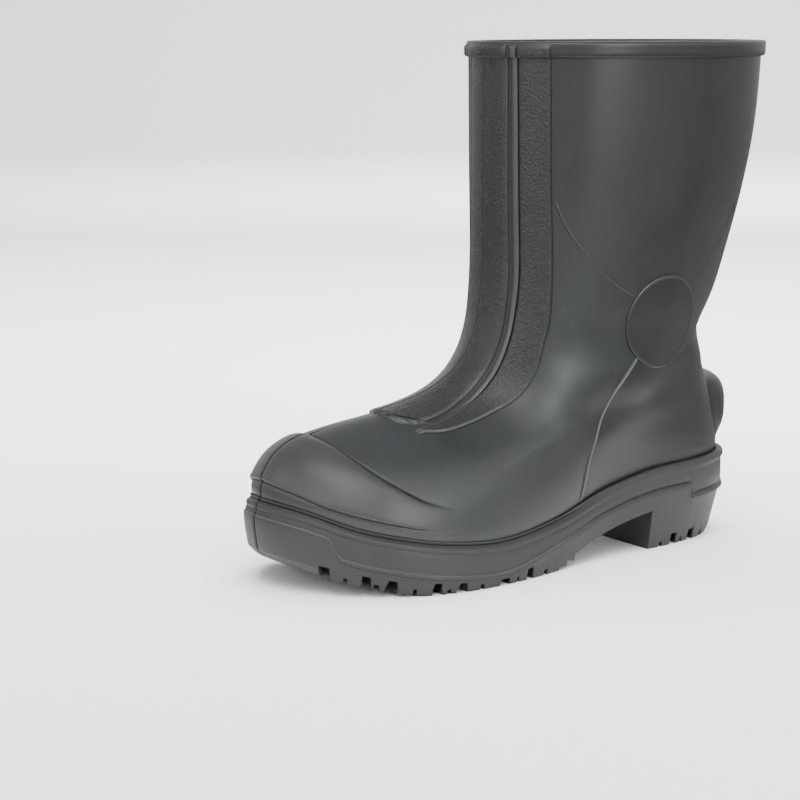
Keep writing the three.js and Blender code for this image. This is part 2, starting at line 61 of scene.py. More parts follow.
# The last's centre line as shares of half the ball's width, negative towards the inner side.
CENTRE_LINE = {
    "front": -0.168, "toe": -0.093, "ball": 0.112, "mid": 0.131,
    "waist": 0.075, "heel": 0.019, "corner": 0, "back": 0,
}
DIP_LINE = {
    "front": 0, "toe": 0.43, "ball": 1, "mid": 0.83, "waist": 0.35, "heel": 0, "corner": 0, "back": 0,
}
FOOT_COLUMNS = ("front", "frontUp", "back", "backUp", "toe", "ball", "mid", "waist", "heel", "lean", "dip")
FOOT_RINGS = (
    (0.971, 0.23, 0.03, 0.21, 0.72, 0.93, 0.74, 0.62, 0.62, 1, 0.5),
    (0.987, 0.446, 0.018, 0.429, 0.8, 1.0, 0.81, 0.68, 0.67, 1, 1),
    (0.98, 0.527, 0.017, 0.518, 0.8, 0.99, 0.82, 0.71, 0.68, 1, 0.95),
    (0.96, 0.616, 0.02, 0.598, 0.74, 0.95, 0.81, 0.74, 0.68, 0.95, 0.85),
    (0.914, 0.696, 0.028, 0.679, 0.63, 0.87, 0.785, 0.765, 0.67, 0.9, 0.7),
    (0.833, 0.754, 0.038, 0.759, 0.47, 0.785, 0.765, 0.775, 0.665, 0.8, 0.55),
    (0.744, 0.795, 0.052, 0.839, 0.4, 0.71, 0.765, 0.785, 0.65, 0.65, 0.4),
    (0.66, 0.857, 0.066, 0.92, 0.4, 0.72, 0.81, 0.81, 0.65, 0.5, 0.25),
    (0.595, 0.964, 0.076, 1.0, 0.48, 0.78, 0.86, 0.83, 0.66, 0.3, 0.1),
)
SHAFT_COLUMNS = ("up", "front", "back", "half")
SHAFT_RINGS = (
    (0.08, 1.04, 0.6, 0.75),
    (0.19, 0.99, 0.69, 0.8),
    (0.34, 0.965, 0.785, 0.86),
    (0.52, 0.965, 0.89, 0.91),
    (0.75, 0.965, 0.98, 0.96),
    (1.0, 0.965, 1.01, 1.0),
)
OVAL_POWER = 2.1

RIM_TOE, RIM_BALL, RIM_HEEL = 50.0, 25.0, 48.0
BED_TOE, BED_BALL, BED_HEEL = 32.0, 15.0, 30.0
TOE_SPRING, SPRING_START = 17.0, 74.0
HEEL_LENGTH, BREAST_HEIGHT, ARCH_LENGTH = 79.0, 23.0, 80.0
HEEL_ROUND, HEEL_LIFT = 36.0, 8.5
SIDE_TAPER, HEEL_TAPER = 0.16, 0.24
BUMPER_LENGTH, BUMPER_RISE, STEP_EASE = 23.5, 8.7, 6.0
HEEL_BAND_LENGTH, HEEL_BAND_DROP, HEEL_BEAD = 50.0, 6.9, 1.2
BALL_BAND_START, BALL_BAND_END, BALL_BAND_DROP = 145.0, 205.0, 4.6
LEAST_TREAD, LUG_DEPTH, LUG_REACH = 4.0, 6.5, 27.0
INSOLE_THICKNESS = 4.0

# ---------------------------------------------------------------- the smooth form of the last


def mix(start, end, share):
    return start + (end - start) * share


def ease(low, high, value):
    share = np.clip((np.asarray(value, float) - low) / (high - low), 0.0, 1.0)
    return share * share * (3.0 - 2.0 * share)


def rounded(depth):
    """A quarter round: 0 at depth 0, and 1 from depth 1 on."""
    share = np.clip(depth, 0.0, 1.0)
    return np.sqrt(1.0 - (1.0 - share) ** 2)


def bell(distance, width, power=2):
    """A smooth hump: 1 at distance 0, and about a third at the width."""
    return np.exp(-((distance / width) ** power))


def control_ring(ring, half):
    def at(name, share, width):
        dip = DIP_LINE[name] * ring["dip"] * (RIM_HEEL - RIM_BALL)
        lift = mix(ring["backUp"], ring["frontUp"], share) - dip
        along = mix(ring["back"], ring["front"], share)
        return (CENTRE_LINE[name] * BALL_WIDTH / 2 * ring["lean"] + width, SOLE_LENGTH / 2 - along, lift)

    outer = [at(name, share, half[name]) for name, share in STATIONS.items()]
    inner = [at(name, share, -half[name]) for name, share in STATIONS.items()][::-1]
    return [at("front", 1.0, 0.0), *outer, at("back", 0.0, 0.0), *inner]


def oval_width(share):
    """The width of the shaft's oval section at a share of its depth, as a share of its greatest width."""
    return (1 - abs(2 * share - 1) ** OVAL_POWER) ** (1 / OVAL_POWER)


def control_rings():
    rings = []
    for row in FOOT_RINGS:
        ring = dict(zip(FOOT_COLUMNS, row))
        half = {name: ring[name] * BALL_WIDTH / 2 for name in ("toe", "ball", "mid", "waist", "heel")}
        half["corner"] = half["heel"] * CORNER_SHARE
        for name in ("front", "back"):
            ring[name] *= SOLE_LENGTH
            ring[name + "Up"] *= INSTEP_HEIGHT
        rings.append(control_ring(ring, half))
    for row in SHAFT_RINGS:
        shaft = dict(zip(SHAFT_COLUMNS, row))
        height = mix(INSTEP_HEIGHT, BOOT_HEIGHT, shaft["up"])
        half = {name: shaft["half"] * oval_width(share) * SHAFT_WIDTH / 2 for name, share in STATIONS.items()}
        ring = {
            "front": SHAFT_CENTRE + shaft["front"] * SHAFT_DEPTH / 2,
            "back": SHAFT_CENTRE - shaft["back"] * SHAFT_DEPTH / 2,
            "frontUp": height,
            "backUp": height,
            "lean": 0,
            "dip": 0,
        }
        rings.append(control_ring(ring, half))
    return np.array(rings, float)


def spline_net():
    """Coefficients of the cubic surface that passes through every control ring."""
    rings = control_rings()
    count, around = rings.shape[:2]
    turns = (np.eye(around) * 4 + np.roll(np.eye(around), 1, 1) + np.roll(np.eye(around), -1, 1)) / 6
    ups = (np.eye(count) * 4 + np.eye(count, k=1) + np.eye(count, k=-1)) / 6
    ups[0], ups[-1] = np.eye(count)[0], np.eye(count)[-1]
    made = np.stack([np.linalg.solve(turns, rings[:, :, axis].T).T for axis in range(3)], -1)
    made = np.stack([np.linalg.solve(ups, made[:, :, axis]) for axis in range(3)], -1)
    return np.concatenate([[2 * made[0] - made[1]], made, [2 * made[-1] - made[-2]]])


NET = spline_net()
AROUND = NET.shape[1]
TOP_RING = NET.shape[0] - 3
HALF_WAY = AROUND // 2


def cubic(u):
    return np.stack([(1 - u) ** 3, 3 * u**3 - 6 * u * u + 4, -3 * u**3 + 3 * u * u + 3 * u + 1, u**3], -1) / 6


def cubic_slope(u):
    return np.stack([-((1 - u) ** 2), 3 * u * u - 4 * u, -3 * u * u + 2 * u + 1, u * u], -1) / 2


def form(ring, turn):
    """Points of the last's outer form and their outward normals, for arrays of rings and turns."""
    ring, turn = np.broadcast_arrays(np.asarray(ring, float), np.asarray(turn, float))
    r = np.clip(np.floor(ring).astype(int), 0, TOP_RING - 1)
    t = np.floor(turn).astype(int)
    u, v = ring - r, turn - t
    rows = r[..., None] + np.arange(4)
    columns = (t[..., None] + np.arange(4) - 1) % AROUND
    near = NET[rows[..., :, None], columns[..., None, :]]
    ru, rv, su, sv = cubic(u), cubic(v), cubic_slope(u), cubic_slope(v)
    point = np.einsum("...i,...j,...ijk->...k", ru, rv, near)
    upwards = np.einsum("...i,...j,...ijk->...k", su, rv, near)
    onwards = np.einsum("...i,...j,...ijk->...k", ru, sv, near)
    normal = np.cross(onwards, upwards)
    return point, normal / np.linalg.norm(normal, axis=-1, keepdims=True)


def along_of(point):
    return SOLE_LENGTH / 2 - point[..., 1]


def smooth_line(points, steps=12):
    """A smooth line through a short list of points, as an array of closely spaced ones."""
    p = np.array(points, float)
    p = np.concatenate([p[:1], p, p[-1:]])
    u = np.linspace(0, 1, steps, endpoint=False)[:, None]
    parts = []
    for i in range(len(p) - 3):
        a, b, c, d = p[i : i + 4]
        v0, v1 = (c - a) / 2, (d - b) / 2
        parts.append((2 * b - 2 * c + v0 + v1) * u**3 + (-3 * b + 3 * c - 2 * v0 - v1) * u**2 + v0 * u + b)
    return np.concatenate([*parts, p[-2:-1]])


def height_along(stops):
    line = smooth_line([(share * SOLE_LENGTH, height) for share, height in stops], 8)
    return lambda along: np.interp(along, line[:, 0], line[:, 1])


rim_at = height_along((
    (0, RIM_HEEL * 1.055), (0.07, RIM_HEEL * 1.045), (0.14, RIM_HEEL * 1.03), (0.25, RIM_HEEL * 0.99),
    (0.36, mix(RIM_BALL, RIM_HEEL, 0.68)), (0.48, mix(RIM_BALL, RIM_HEEL, 0.24)), (0.62, RIM_BALL),
    (0.74, mix(RIM_BALL, RIM_TOE, 0.1)), (0.82, mix(RIM_BALL, RIM_TOE, 0.265)),
    (0.89, mix(RIM_BALL, RIM_TOE, 0.48)), (0.95, mix(RIM_BALL, RIM_TOE, 0.8)), (1, RIM_TOE),
))
bed_at = height_along((
    (-0.05, BED_HEEL), (0.22, BED_HEEL), (0.45, mix(BED_BALL, BED_HEEL, 0.4)),
    (0.65, BED_BALL), (0.85, mix(BED_BALL, BED_TOE, 0.35)), (1.05, BED_TOE),
))


def form_at_height(turn, height_of):
    """The form's points at these turns, at the height that height_of gives along the sole."""
    low, high = np.zeros_like(turn), np.full_like(turn, float(len(FOOT_RINGS)))
    for _ in range(18):
        middle = (low + high) / 2
        point, _ = form(middle, turn)
        under = point[..., 2] < height_of(along_of(point))
        low, high = np.where(under, middle, low), np.where(under, high, middle)
    return form(low, turn)


# ---------------------------------------------------------------- meshes

MILLIMETRE = 0.001


def new_piece(name, points, faces, marks=None):
    """A mesh object in metres in the row's frame, from points in millimetres in the last's frame."""
    mesh = bpy.data.meshes.new(name)
    placed = (np.asarray(points, float) + (0.0, MIDDLE_SHIFT, 0.0)) * MILLIMETRE
    mesh.from_pydata(placed.tolist(), [], [tuple(int(i) for i in face) for face in faces])
    for mark, values in (marks or {}).items():
        attribute = mesh.attributes.new(mark, "FLOAT", "POINT")
        attribute.data.foreach_set("value", np.asarray(values, np.float32))
    mesh.update()
    piece = bpy.data.objects.new(name, mesh)
    bpy.context.scene.collection.objects.link(piece)
    return piece


def loops_to_faces(rows, columns, closed_rows=False):
    """Quads between loops of as many points each; closed_rows joins the last loop to the first."""
    i = np.arange(rows if closed_rows else rows - 1)[:, None]
    k = np.arange(columns)[None, :]
    i2, k2 = (i + 1) % rows, (k + 1) % columns
    corners = [i * columns + k, i * columns + k2, i2 * columns + k2, i2 * columns + k]
    return np.stack(corners, -1).reshape(-1, 4)


def select_only(piece):
    bpy.ops.object.select_all(action="DESELECT")
    piece.select_set(True)
    bpy.context.view_layer.objects.active = piece


def merge_doubles(piece, distance=0.02):
    select_only(piece)
    bpy.ops.object.mode_set(mode="EDIT")
    bpy.ops.mesh.select_all(action="SELECT")
    bpy.ops.mesh.remove_doubles(threshold=distance * MILLIMETRE)
    bpy.ops.mesh.normals_make_consistent(inside=False)
    bpy.ops.object.mode_set(mode="OBJECT")


def shade(piece, degrees):
    select_only(piece)
    bpy.ops.object.shade_smooth_by_angle(angle=math.radians(degrees))


def distance_to(points, line):
    """Shortest distance of each point to a line of points, all in millimetres."""
    flat = points.reshape(-1, 3)
    best = np.full(len(flat), 1e9)
    for a, b in zip(line[:-1], line[1:]):
        d = b - a
        t = np.clip(((flat - a) @ d) / max(d @ d, 1e-9), 0, 1)
        gap = flat - a - t[:, None] * d
        best = np.minimum(best, np.einsum("ij,ij->i", gap, gap))
    return np.sqrt(best).reshape(points.shape[:-1])


def inside_of(ring, turn, outline):
    """Whether places on the form, as ring and turn, lie in a closed outline of [ring, turn] pairs."""
    inside = np.zeros(ring.shape, bool)
    for (r0, t0), (r1, t1) in zip(outline, np.roll(outline, -1, 0)):
        if r0 == r1:
            continue
        crosses = (r0 > ring) != (r1 > ring)
        inside ^= crosses & (turn < (t1 - t0) * (ring - r0) / (r1 - r0) + t0)
    return inside


# ---------------------------------------------------------------- the upper's relief

PANEL_RAISE = 1.9
STRIP_RAISE = 1.25
SIDE_BAND_RAISE = 1.5
CAP_RAISE = 2.3
COLLAR_RAISE = 2.4
COLLAR_HEIGHT = 9.0
SPUR_HALF_WIDTH = 22.0
SPUR_HALF_HEIGHT = 24.0
SPUR_UP = 75.5
SPUR_BACK = 1.5
SPUR_SLOT = 1.8
SPUR_SQUARENESS = 2.8
SPUR_CROWN_UP, SPUR_CROWN_ACROSS = 5.5, 5.0
# Only this far forward of the sole's back is the form drawn out into the spur.
SPUR_LIMIT = 45.0

# Edges on the outer side as [ring, turn] pairs; the inner side has the same ones mirrored.
SHIN_PANEL_EDGE = (
    (14.6, 0.38), (13.8, 0.39), (12.5, 0.423), (11.2, 0.47), (10.4, 0.525), (9.5, 0.55), (8.9, 0.578),
    (8.4, 0.61), (7.8, 0.685), (7.15, 0.815), (6.4, 0.925), (5.85, 0.915), (5.66, 0.8), (5.68, 0.6),
    (5.8, 0.33),
)
SIDE_BAND_FRONT = (
    (14.6, 0.53), (13.8, 0.545), (12.5, 0.594), (11.2, 0.652), (10.4, 0.7), (9.5, 0.72), (8.9, 0.75),
    (8.4, 0.795), (7.8, 0.875), (7.1, 1.0), (6.6, 1.035), (6.1, 1.055), (5.65, 1.04), (5.42, 1.0),
)
SIDE_BAND_BACK = (
    (14.6, 0.97), (13.8, 0.985), (12.5, 1.05), (11.2, 1.152), (10.4, 1.235), (9.5, 1.325), (8.9, 1.35),
    (8.4, 1.405), (7.8, 1.455), (7.2, 1.5), (6.6, 1.455), (6.1, 1.4), (5.55, 1.29), (5.35, 1.1),
)
CAP_CREST = (
    (4.32, 0), (4.13, 0.51), (3.79, 0.85), (3.39, 1.157), (3.01, 1.445), (2.79, 1.62), (2.68, 1.78),
    (2.5, 2.0),
)
CAP_FOOT = (
    (1.84, 0), (1.62, 0.45), (1.42, 0.74), (1.39, 0.96), (1.43, 1.18), (1.49, 1.45), (1.53, 1.65),
    (1.6, 1.86), (1.62, 2.0),
)
HEEL_SEAM = (
    (8.4, 3.21), (7.79, 3.035), (6.95, 3.0), (5.75, 3.183), (4.28, 3.459), (3.0, 3.516), (1.0, 3.5),
)
SHAFT_SEAM = ((11.97, 1.134), (11.43, 1.417), (10.68, 2.03), (10.19, 2.658), (10.1, 2.85))
# Soft creases: [ring, turn] line, half width and rise in millimetres.
CREASES = (
    (((7.95, 4.6), (8.3, 5.0), (8.75, 5.5), (9.0, 5.9)), 2.2, -0.8),
    (((8.6, 1.7), (8.3, 2.3), (8.3, 2.9)), 11.0, -0.35),
    (((5.2, 1.6), (4.7, 2.2), (4.2, 2.9)), 11.0, -0.35),
    (((9.6, 3.9), (9.2, 4.9), (9.0, 5.9)), 9.0, -0.5),
    (((6.4, 4.1), (5.6, 4.4), (4.6, 4.9)), 11.0, 0.4),
)
CALF_SEAM = ((10.2, 3.95), (10.38, 4.2), (10.61, 4.58), (11.1, 4.9), (11.9, 5.3))

COLLAR_PITCH = (BOOT_HEIGHT - INSTEP_HEIGHT) * (SHAFT_RINGS[-1][0] - SHAFT_RINGS[-2][0])
COLLAR_RING = TOP_RING - COLLAR_HEIGHT / COLLAR_PITCH


def edge_turn(edge, ring):
    """The turn of an edge that runs up and down, at each ring."""
    line = smooth_line(edge)
    order = np.argsort(line[:, 0])
    return np.interp(ring, line[order, 0], line[order, 1])


def on_form(line, offset=0.0):
    point, normal = form(np.clip(line[:, 0], 0, TOP_RING), line[:, 1])
    return point + normal * offset


def mirrored(edge):
    return tuple((ring, -turn) for ring, turn in edge)


def closely(start, end, count):
    return list(np.linspace(start, end, count, endpoint=False))


# Columns run along the edges that go up and down: their places at an even, nominal turn.
EDGE_COLUMNS = ((0.6, SHIN_PANEL_EDGE), (0.8, SIDE_BAND_FRONT), (1.3, SIDE_BAND_BACK), (3.2, HEEL_SEAM))


def nominal_columns():
    a, b, c, d = (place for place, _ in EDGE_COLUMNS)
    outer = [0.0, 0.009, 0.017, 0.025, 0.034, 0.05, 0.08]
    outer += closely(0.11, a - 0.05, 8) + [a - 0.05, a - 0.022, a - 0.008, a, a + 0.025]
    outer += closely(a + 0.05, b - 0.04, 4)
    outer += [b + step for step in (-0.04, -0.026, -0.014, -0.006, 0, 0.01, 0.025)]
    outer += closely(b + 0.05, c - 0.03, 10) + [c - 0.03, c - 0.01, c, c + 0.008, c + 0.018, c + 0.04]
    outer += closely(c + 0.07, d - 0.04, 40) + [d - 0.04, d, d + 0.04]
    outer += closely(d + 0.08, HALF_WAY - 0.03, 74) + [HALF_WAY - 0.03, HALF_WAY - 0.014]
    return np.array(outer + [HALF_WAY] + [AROUND - turn for turn in outer[:0:-1]])


def true_turn(nominal, ring):
    """The turn at which a nominal column stands at each ring, on both sides alike."""
    side = np.where(nominal > HALF_WAY, -1.0, 1.0)
    folded = np.where(nominal > HALF_WAY, AROUND - nominal, nominal)
    knots = [np.zeros_like(ring)]
    knots += [edge_turn(edge, ring) for _, edge in EDGE_COLUMNS]
    knots.append(np.full_like(ring, HALF_WAY))
    places = [0.0, *(place for place, _ in EDGE_COLUMNS), float(HALF_WAY)]
    turn = np.zeros(np.broadcast(folded, ring).shape)
    for i in range(len(places) - 1):
        share = (folded - places[i]) / (places[i + 1] - places[i])
        here = (share >= 0) & (share <= 1)
        turn = np.where(here, mix(knots[i], knots[i + 1], share), turn)
    return np.where(side > 0, turn, AROUND - turn)


# Rows run along the cap's two edges: nominal places of the rim, the cap's foot, its crest and the vamp.
ROW_FOOT, ROW_CREST, ROW_VAMP = 1.6, 3.4, 5.2


def nominal_rows():
    rows = closely(0.4, 1.0, 2) + closely(1.0, ROW_FOOT - 0.12, 6)
    rows += [ROW_FOOT + step for step in (-0.1, -0.045, -0.015, 0, 0.03, 0.08, 0.15)]
    rows += closely(ROW_FOOT + 0.23, ROW_CREST - 0.2, 18)
    rows += [ROW_CREST + step for step in (-0.2, -0.13, -0.07, -0.03, 0, 0.03, 0.08)]
    rows += closely(ROW_CREST + 0.14, ROW_VAMP, 21) + closely(ROW_VAMP, 6.6, 24) + closely(6.6, 9.0, 32)
    for level, count in ((9.0, 11), (10.0, 14), (11.0, 16), (12.0, 20)):
        rows += closely(level, level + 1, count)
    rows += closely(13.0, COLLAR_RING - 0.03, 16)
    rows += [COLLAR_RING + step for step in (-0.03, -0.008, 0, 0.01, 0.03)]
    return np.array(rows + closely(COLLAR_RING + 0.06, TOP_RING - 0.05, 4))


def true_ring(nominal, turn):
    folded = np.where(turn > HALF_WAY, AROUND - turn, turn)
    foot, crest = (smooth_line(edge) for edge in (CAP_FOOT, CAP_CREST))
    foot_ring = np.interp(folded, foot[:, 1], foot[:, 0])
    crest_ring = np.interp(folded, np.append(crest[:, 1], 3.2), np.append(crest[:, 0], 2.9))
    ring = np.where(nominal < ROW_VAMP, 0.0, nominal)
    level = 0 * folded
    knots = ((0.0, level), (1.0, 1.0 + level), (ROW_FOOT, foot_ring), (ROW_CREST, crest_ring))
    knots += ((ROW_VAMP, ROW_VAMP + level),)
    for (low, start), (high, end) in zip(knots[:-1], knots[1:]):
        here = (nominal >= low) & (nominal < high)
        ring = np.where(here, mix(start, end, (nominal - low) / (high - low)), ring)
    return ring


def relief(ring, turn, point):
    """How far each place of the upper stands proud of the form, and the marks that its finish reads, painted shade
    and highlights among them.
    """
    folded = np.where(turn > HALF_WAY, AROUND - turn, turn)
    signed = np.where(turn > HALF_WAY, turn - AROUND, turn)
    # every edge is measured on the nearer half of the boot, and the other half is its mirror on the form
    shin = smooth_line(SHIN_PANEL_EDGE)
    front, back = smooth_line(SIDE_BAND_FRONT), smooth_line(SIDE_BAND_BACK)
    outer_half = turn <= HALF_WAY

    def measured(line):
        flipped = line * (1, -1)
        return np.where(outer_half, distance_to(point, on_form(line)), distance_to(point, on_form(flipped)))

    near_shin = folded < 2.4
    to_shin = np.where(near_shin, measured(shin), 99.0)
    foot_line = np.array([(5.8, 0.33), (5.84, 0.15), (5.86, 0.0)])
    to_shin = np.minimum(to_shin, np.where(near_shin, measured(foot_line), 99.0))
    panel_outline = np.concatenate([shin, foot_line[1:], [(14.6, 0.0)]])
    in_panel = inside_of(ring, folded, panel_outline)
    to_band = np.where(folded < 3.2, measured(np.concatenate([front, back[::-1]])), 99.0)
    in_band = inside_of(ring, folded, np.concatenate([front, back[::-1]]))

    height = np.zeros(ring.shape)
    height += np.where(in_panel, PANEL_RAISE * rounded(to_shin / 2.2), 0.0)
    height += np.where(in_band, SIDE_BAND_RAISE * rounded(to_band / 1.3), 0.0)
    a, b = edge_turn(SHIN_PANEL_EDGE, ring), edge_turn(SIDE_BAND_FRONT, ring)
    share = (folded - a) / (b - a)
    strip = ease(0.2, 0.6, share) * (1 - ease(0.9, 0.995, share)) * ease(6.3, 7.6, ring)
    height += np.where((share > 0) & (share < 1), STRIP_RAISE * strip, 0.0)
    to_front = np.where(near_shin, measured(front), 99.0)
    to_back = np.where(folded < 3.2, measured(back), 99.0)

    # the toe cap, with its valley along the crest and its step above the rim band
    crest = smooth_line(CAP_CREST)
    foot = smooth_line(CAP_FOOT)
    near_cap = (folded < 3.0) & (ring < 5.6)
    to_crest = np.where(near_cap, measured(crest), 99.0)
    to_foot = np.where(near_cap, measured(foot), 99.0)
    in_cap = inside_of(ring, folded, np.concatenate([crest, foot[::-1]]))
    fade = 1 - ease(1.15, 2.05, folded)
    height += np.where(in_cap, CAP_RAISE * fade * rounded(to_crest / 7.0) * rounded(to_foot / 1.6), 0.0)
    valley = (1 - ease(1.5, 2.0, folded)) * bell(to_crest, 0.9)
    height -= 0.5 * valley
    foot_crease = (1 - ease(1.5, 1.95, folded)) * bell(to_foot, 0.5)
    height -= 0.25 * foot_crease

    # soft troughs and swells left by wear and by the mould
    for line, half_width, rise in CREASES:
        height += rise * bell(measured(smooth_line(line, 6)), half_width)

    # the parting line of the mould at the front and at the back
    across_front = np.abs(point[..., 0] - form(ring, 0 * ring)[0][..., 0])
    across_back = np.abs(point[..., 0] - form(ring, 0 * ring + HALF_WAY)[0][..., 0])
    at_front = (folded < 0.5).astype(float)
    at_back = (folded > HALF_WAY - 0.8).astype(float)
    low_down = 1 - ease(4.2, 5.0, ring)
    line_share = mix(0.3, 1.1, low_down) * (1 - ease(4.3, 4.8, ring) * (1 - ease(5.6, 6.0, ring)))
    height -= at_front * bell(across_front, 0.7, 4) * line_share
    height += at_back * 0.3 * bell(across_back, 0.5)

    # collar band with a rounded lower edge
    height += COLLAR_RAISE * rounded((ring - COLLAR_RING) * COLLAR_PITCH / 1.8)

    outside = ~(in_panel | in_band)
    # painted shade: darker colour and no shine along the panels' grooves, the cap's valley and crease and the toe's
    # parting line
    cavity = np.where(outside & (share < 0.5), 0.45 * bell(to_shin, 1.3), 0.0)
    cavity = np.maximum.reduce([
        cavity,
        np.where(outside, bell(to_front, 0.5) * ease(5.2, 6.2, ring), 0.0),
        np.where(outside, 0.7 * bell(to_back, 0.45), 0.0),
        0.8 * valley,
        0.6 * foot_crease,
        at_front * low_down * bell(across_front, 0.9, 4),
    ])
    in_toe = inside_of(ring, folded, np.concatenate([crest, [(0.0, 2.0), (0.0, 0.0)]]))
    # painted highlights: on the strip between the panels, along the panels' edges low down and beside the toe's
    # parting line
    strip_highlight = 0.45 * np.where((share > 0.3) & (share < 0.9), strip, 0.0)
    panel_edge_highlight = np.where(outside, 0.0, bell(np.minimum(to_shin, to_band) - 0.5, 0.5))
    panel_edge_highlight *= 1 - ease(7.5, 9.5, ring)
    parting_highlight = 2.2 * at_front * low_down * (signed > 0) * bell(across_front - 1.15, 0.35)
    parting_highlight *= ease(1.2, 2.2, ring)
    behind_seam = ease(-0.02, 0.05, folded - edge_turn(HEEL_SEAM, ring)) * (1 - ease(8.4, 9.0, ring))
    on_strip = (share > 0) & (share < 1) & (ring > 6.2)
    marks = {
        "pebble": np.where(in_panel, to_shin, np.where(in_band, to_band, -np.minimum(to_shin, to_band))),
        "seam": np.full(ring.shape, 6.0),
        "panel": np.maximum.reduce([in_panel, in_band, on_strip]).astype(float),
        "cavity": cavity,
        # the painted highlights on raised edges
        "edge": strip_highlight + np.maximum(panel_edge_highlight, parting_highlight),
        # partly a warmer tone behind the heel seam, partly painted shade: darker behind the seam and towards the
        # top of the shaft
        "rear": behind_seam + ease(9.0, 14, ring) * 0.9,
        "cap": np.where(in_toe, to_crest, -to_crest) * (1 - ease(1.3, 2.0, folded)),
    }
    return height, marks


def with_spur(point):
    """Points with the squarish kick-off spur drawn out of the back of the heel, and the slot's share."""
    across = np.abs(point[..., 0]) / SPUR_HALF_WIDTH
    up = (point[..., 2] - SPUR_UP) / SPUR_HALF_HEIGHT
    reach = (across**SPUR_SQUARENESS + np.abs(up) ** SPUR_SQUARENESS) ** (1 / SPUR_SQUARENESS)
    along = along_of(point)
    at_back = along < SPUR_LIMIT
    body = (1 - ease(0.66, 1.06, reach)) * at_back
    crown = SPUR_BACK + SPUR_CROWN_UP * np.abs(up) ** 2.4 + SPUR_CROWN_ACROSS * across**2.6
    out = point.copy()
    drawn = np.minimum(crown, along)
    slot = bell(reach - 1.02, 0.1) * (1 - ease(0.45, 0.8, np.abs(up))) * at_back * SPUR_SLOT
    out[..., 1] = SOLE_LENGTH / 2 - (mix(along, drawn, body) + slot * 0.4)
    out[..., 0] = point[..., 0] - np.sign(point[..., 0]) * slot * 0.9
    return out, np.clip(slot / SPUR_SLOT, 0, 1)


def upper_shell():
    columns, rows = nominal_columns(), nominal_rows()
    nominal = rows[:, None] + 0 * columns[None, :]
    turn = true_turn(columns[None, :] + 0 * nominal, nominal)
    ring = true_ring(nominal, turn)
    turn = true_turn(columns[None, :] + 0 * nominal, ring)
    point, normal = form(ring, turn)
    height, marks = relief(ring, turn, point)
    outer, slot = with_spur(point + normal * height[..., None])
    # painted shade down in the spur's slot
    marks["cavity"] = np.maximum(marks["cavity"], 0.6 * slot)

    # over the collar's lip, then down the inner wall
    top_turn = true_turn(columns, np.full(len(columns), float(TOP_RING)))
    top, top_normal = form(np.full_like(turn[-1], TOP_RING), top_turn)
    lip = (
        (COLLAR_RAISE, -1.6), (COLLAR_RAISE - 0.1, -0.9), (COLLAR_RAISE - 0.55, -0.25),
        (COLLAR_RAISE - 1.3, 0.0), (0.0, 0.0), (-WALL + 1.1, 0.0), (-WALL + 0.4, -0.3), (-WALL, -1.2),
    )
    lips = [top + top_normal * out + (0, 0, down) for out, down in lip]
    inner_rings = np.concatenate([np.linspace(TOP_RING - 0.1, 9, 16), np.linspace(8.6, 0.4, 20)])
    inner = []
    for level in inner_rings:
        place, outwards = form(np.full(len(columns), level), turn[0])
        inner.append(place - outwards * WALL)
    layers = [*outer, *lips, *inner]
    count = len(columns)
    faces = loops_to_faces(len(layers), count, closed_rows=True)
    spare = (len(layers) - len(outer)) * count
    plain = {"pebble": -99.0, "seam": 6.0, "cap": -99.0}
    for name, values in marks.items():
        marks[name] = np.concatenate([values.ravel(), np.full(spare, plain.get(name, 0.0))])
    return new_piece("boot_upper", np.concatenate(layers), faces, marks)


# ---------------------------------------------------------------- the outsole

# Down the sole's side, in millimetres: drop below the rim, reach past the upper at the front and at the heel.
RIM_PROFILE = (
    (0.0, 0.35, 0.35), (-0.12, 0.6, 0.9), (-0.16, 0.85, 1.5), (-0.08, 1.08, 2.1), (0.15, 1.12, 2.7),
    (0.45, 0.9, 3.1),
    (0.85, 0.7, 3.4), (1.4, 0.75, 3.6), (1.9, 1.2, 3.7), (2.4, 1.95, 3.75), (2.9, 2.6, 3.8), (3.6, 3.0, 3.8),
    (4.5, 3.15, 3.8), (5.3, 3.15, 3.75), (5.7, 2.85, 3.7), (6.0, 2.9, 3.7), (6.4, 3.15, 3.7),
    (8.8, 3.35, 3.7), (11.2, 3.55, 3.7), (11.9, 3.6, 3.7), (12.3, 3.6, 3.45), (12.6, 3.75, 3.4), (12.85, 4.15, 3.7),
    (13.15, 4.5, 4.1), (13.7, 4.6, 4.4), (15.0, 4.6, 4.6),
)
SIDE_REACH = 4.6
RIDGE_DROP = 12.0
BEAD_DROP = 3.4
BEVEL_START, BEVEL_HEIGHT = 291.0, 5.2
# The channels between the lugs: place as a share of the length, width as a share of the lugs' depth, and the
# slope of the front wall in millimetres.
TREAD_CHANNELS = (
    (0.93, 0.71, 0.4), (0.8755, 0.65, 0.4), (0.841, 1.02, 2.6), (0.7665, 0.78, 0.4), (0.722, 1.05, 2.6),
    (0.631, 1.08, 0.6), (0.571, 0.77, 0.6), (0.186, 0.85, 0.8), (0.133, 0.92, 0.8),
)
# Fine slots between them: place along, width and front slope, all in millimetres.
TREAD_SLOTS = (
    (282.0, 2.0, 0.4), (268.9, 2.9, 0.4), (250.8, 2.3, 0.4), (232.7, 2.5, 0.4), (212.5, 2.6, 0.4),
    (187.5, 2.1, 0.4),
    (165.4, 3.0, 0.5), (68.8, 3.0, 0.9), (50.5, 2.0, 0.5), (30.0, 2.2, 0.5),
)
SLOT_DEPTH = 3.2
MIDDLE_CHANNELS = (0.89, 0.83, 0.76, 0.69, 0.61, 0.21)
# Small teeth where the forefoot's tread ends in the arch: places of their steep walls, spacing and depth.
TEETH = (140.6, 147.0, 153.4)
TOOTH_PITCH, TOOTH_DEPTH = 6.4, 3.4
ARCH_LINE = ((0, 1), (0.3, 0.86), (0.6, 0.55), (1, 0))
SPINE_START, SPINE_END = 34.0, 284.0


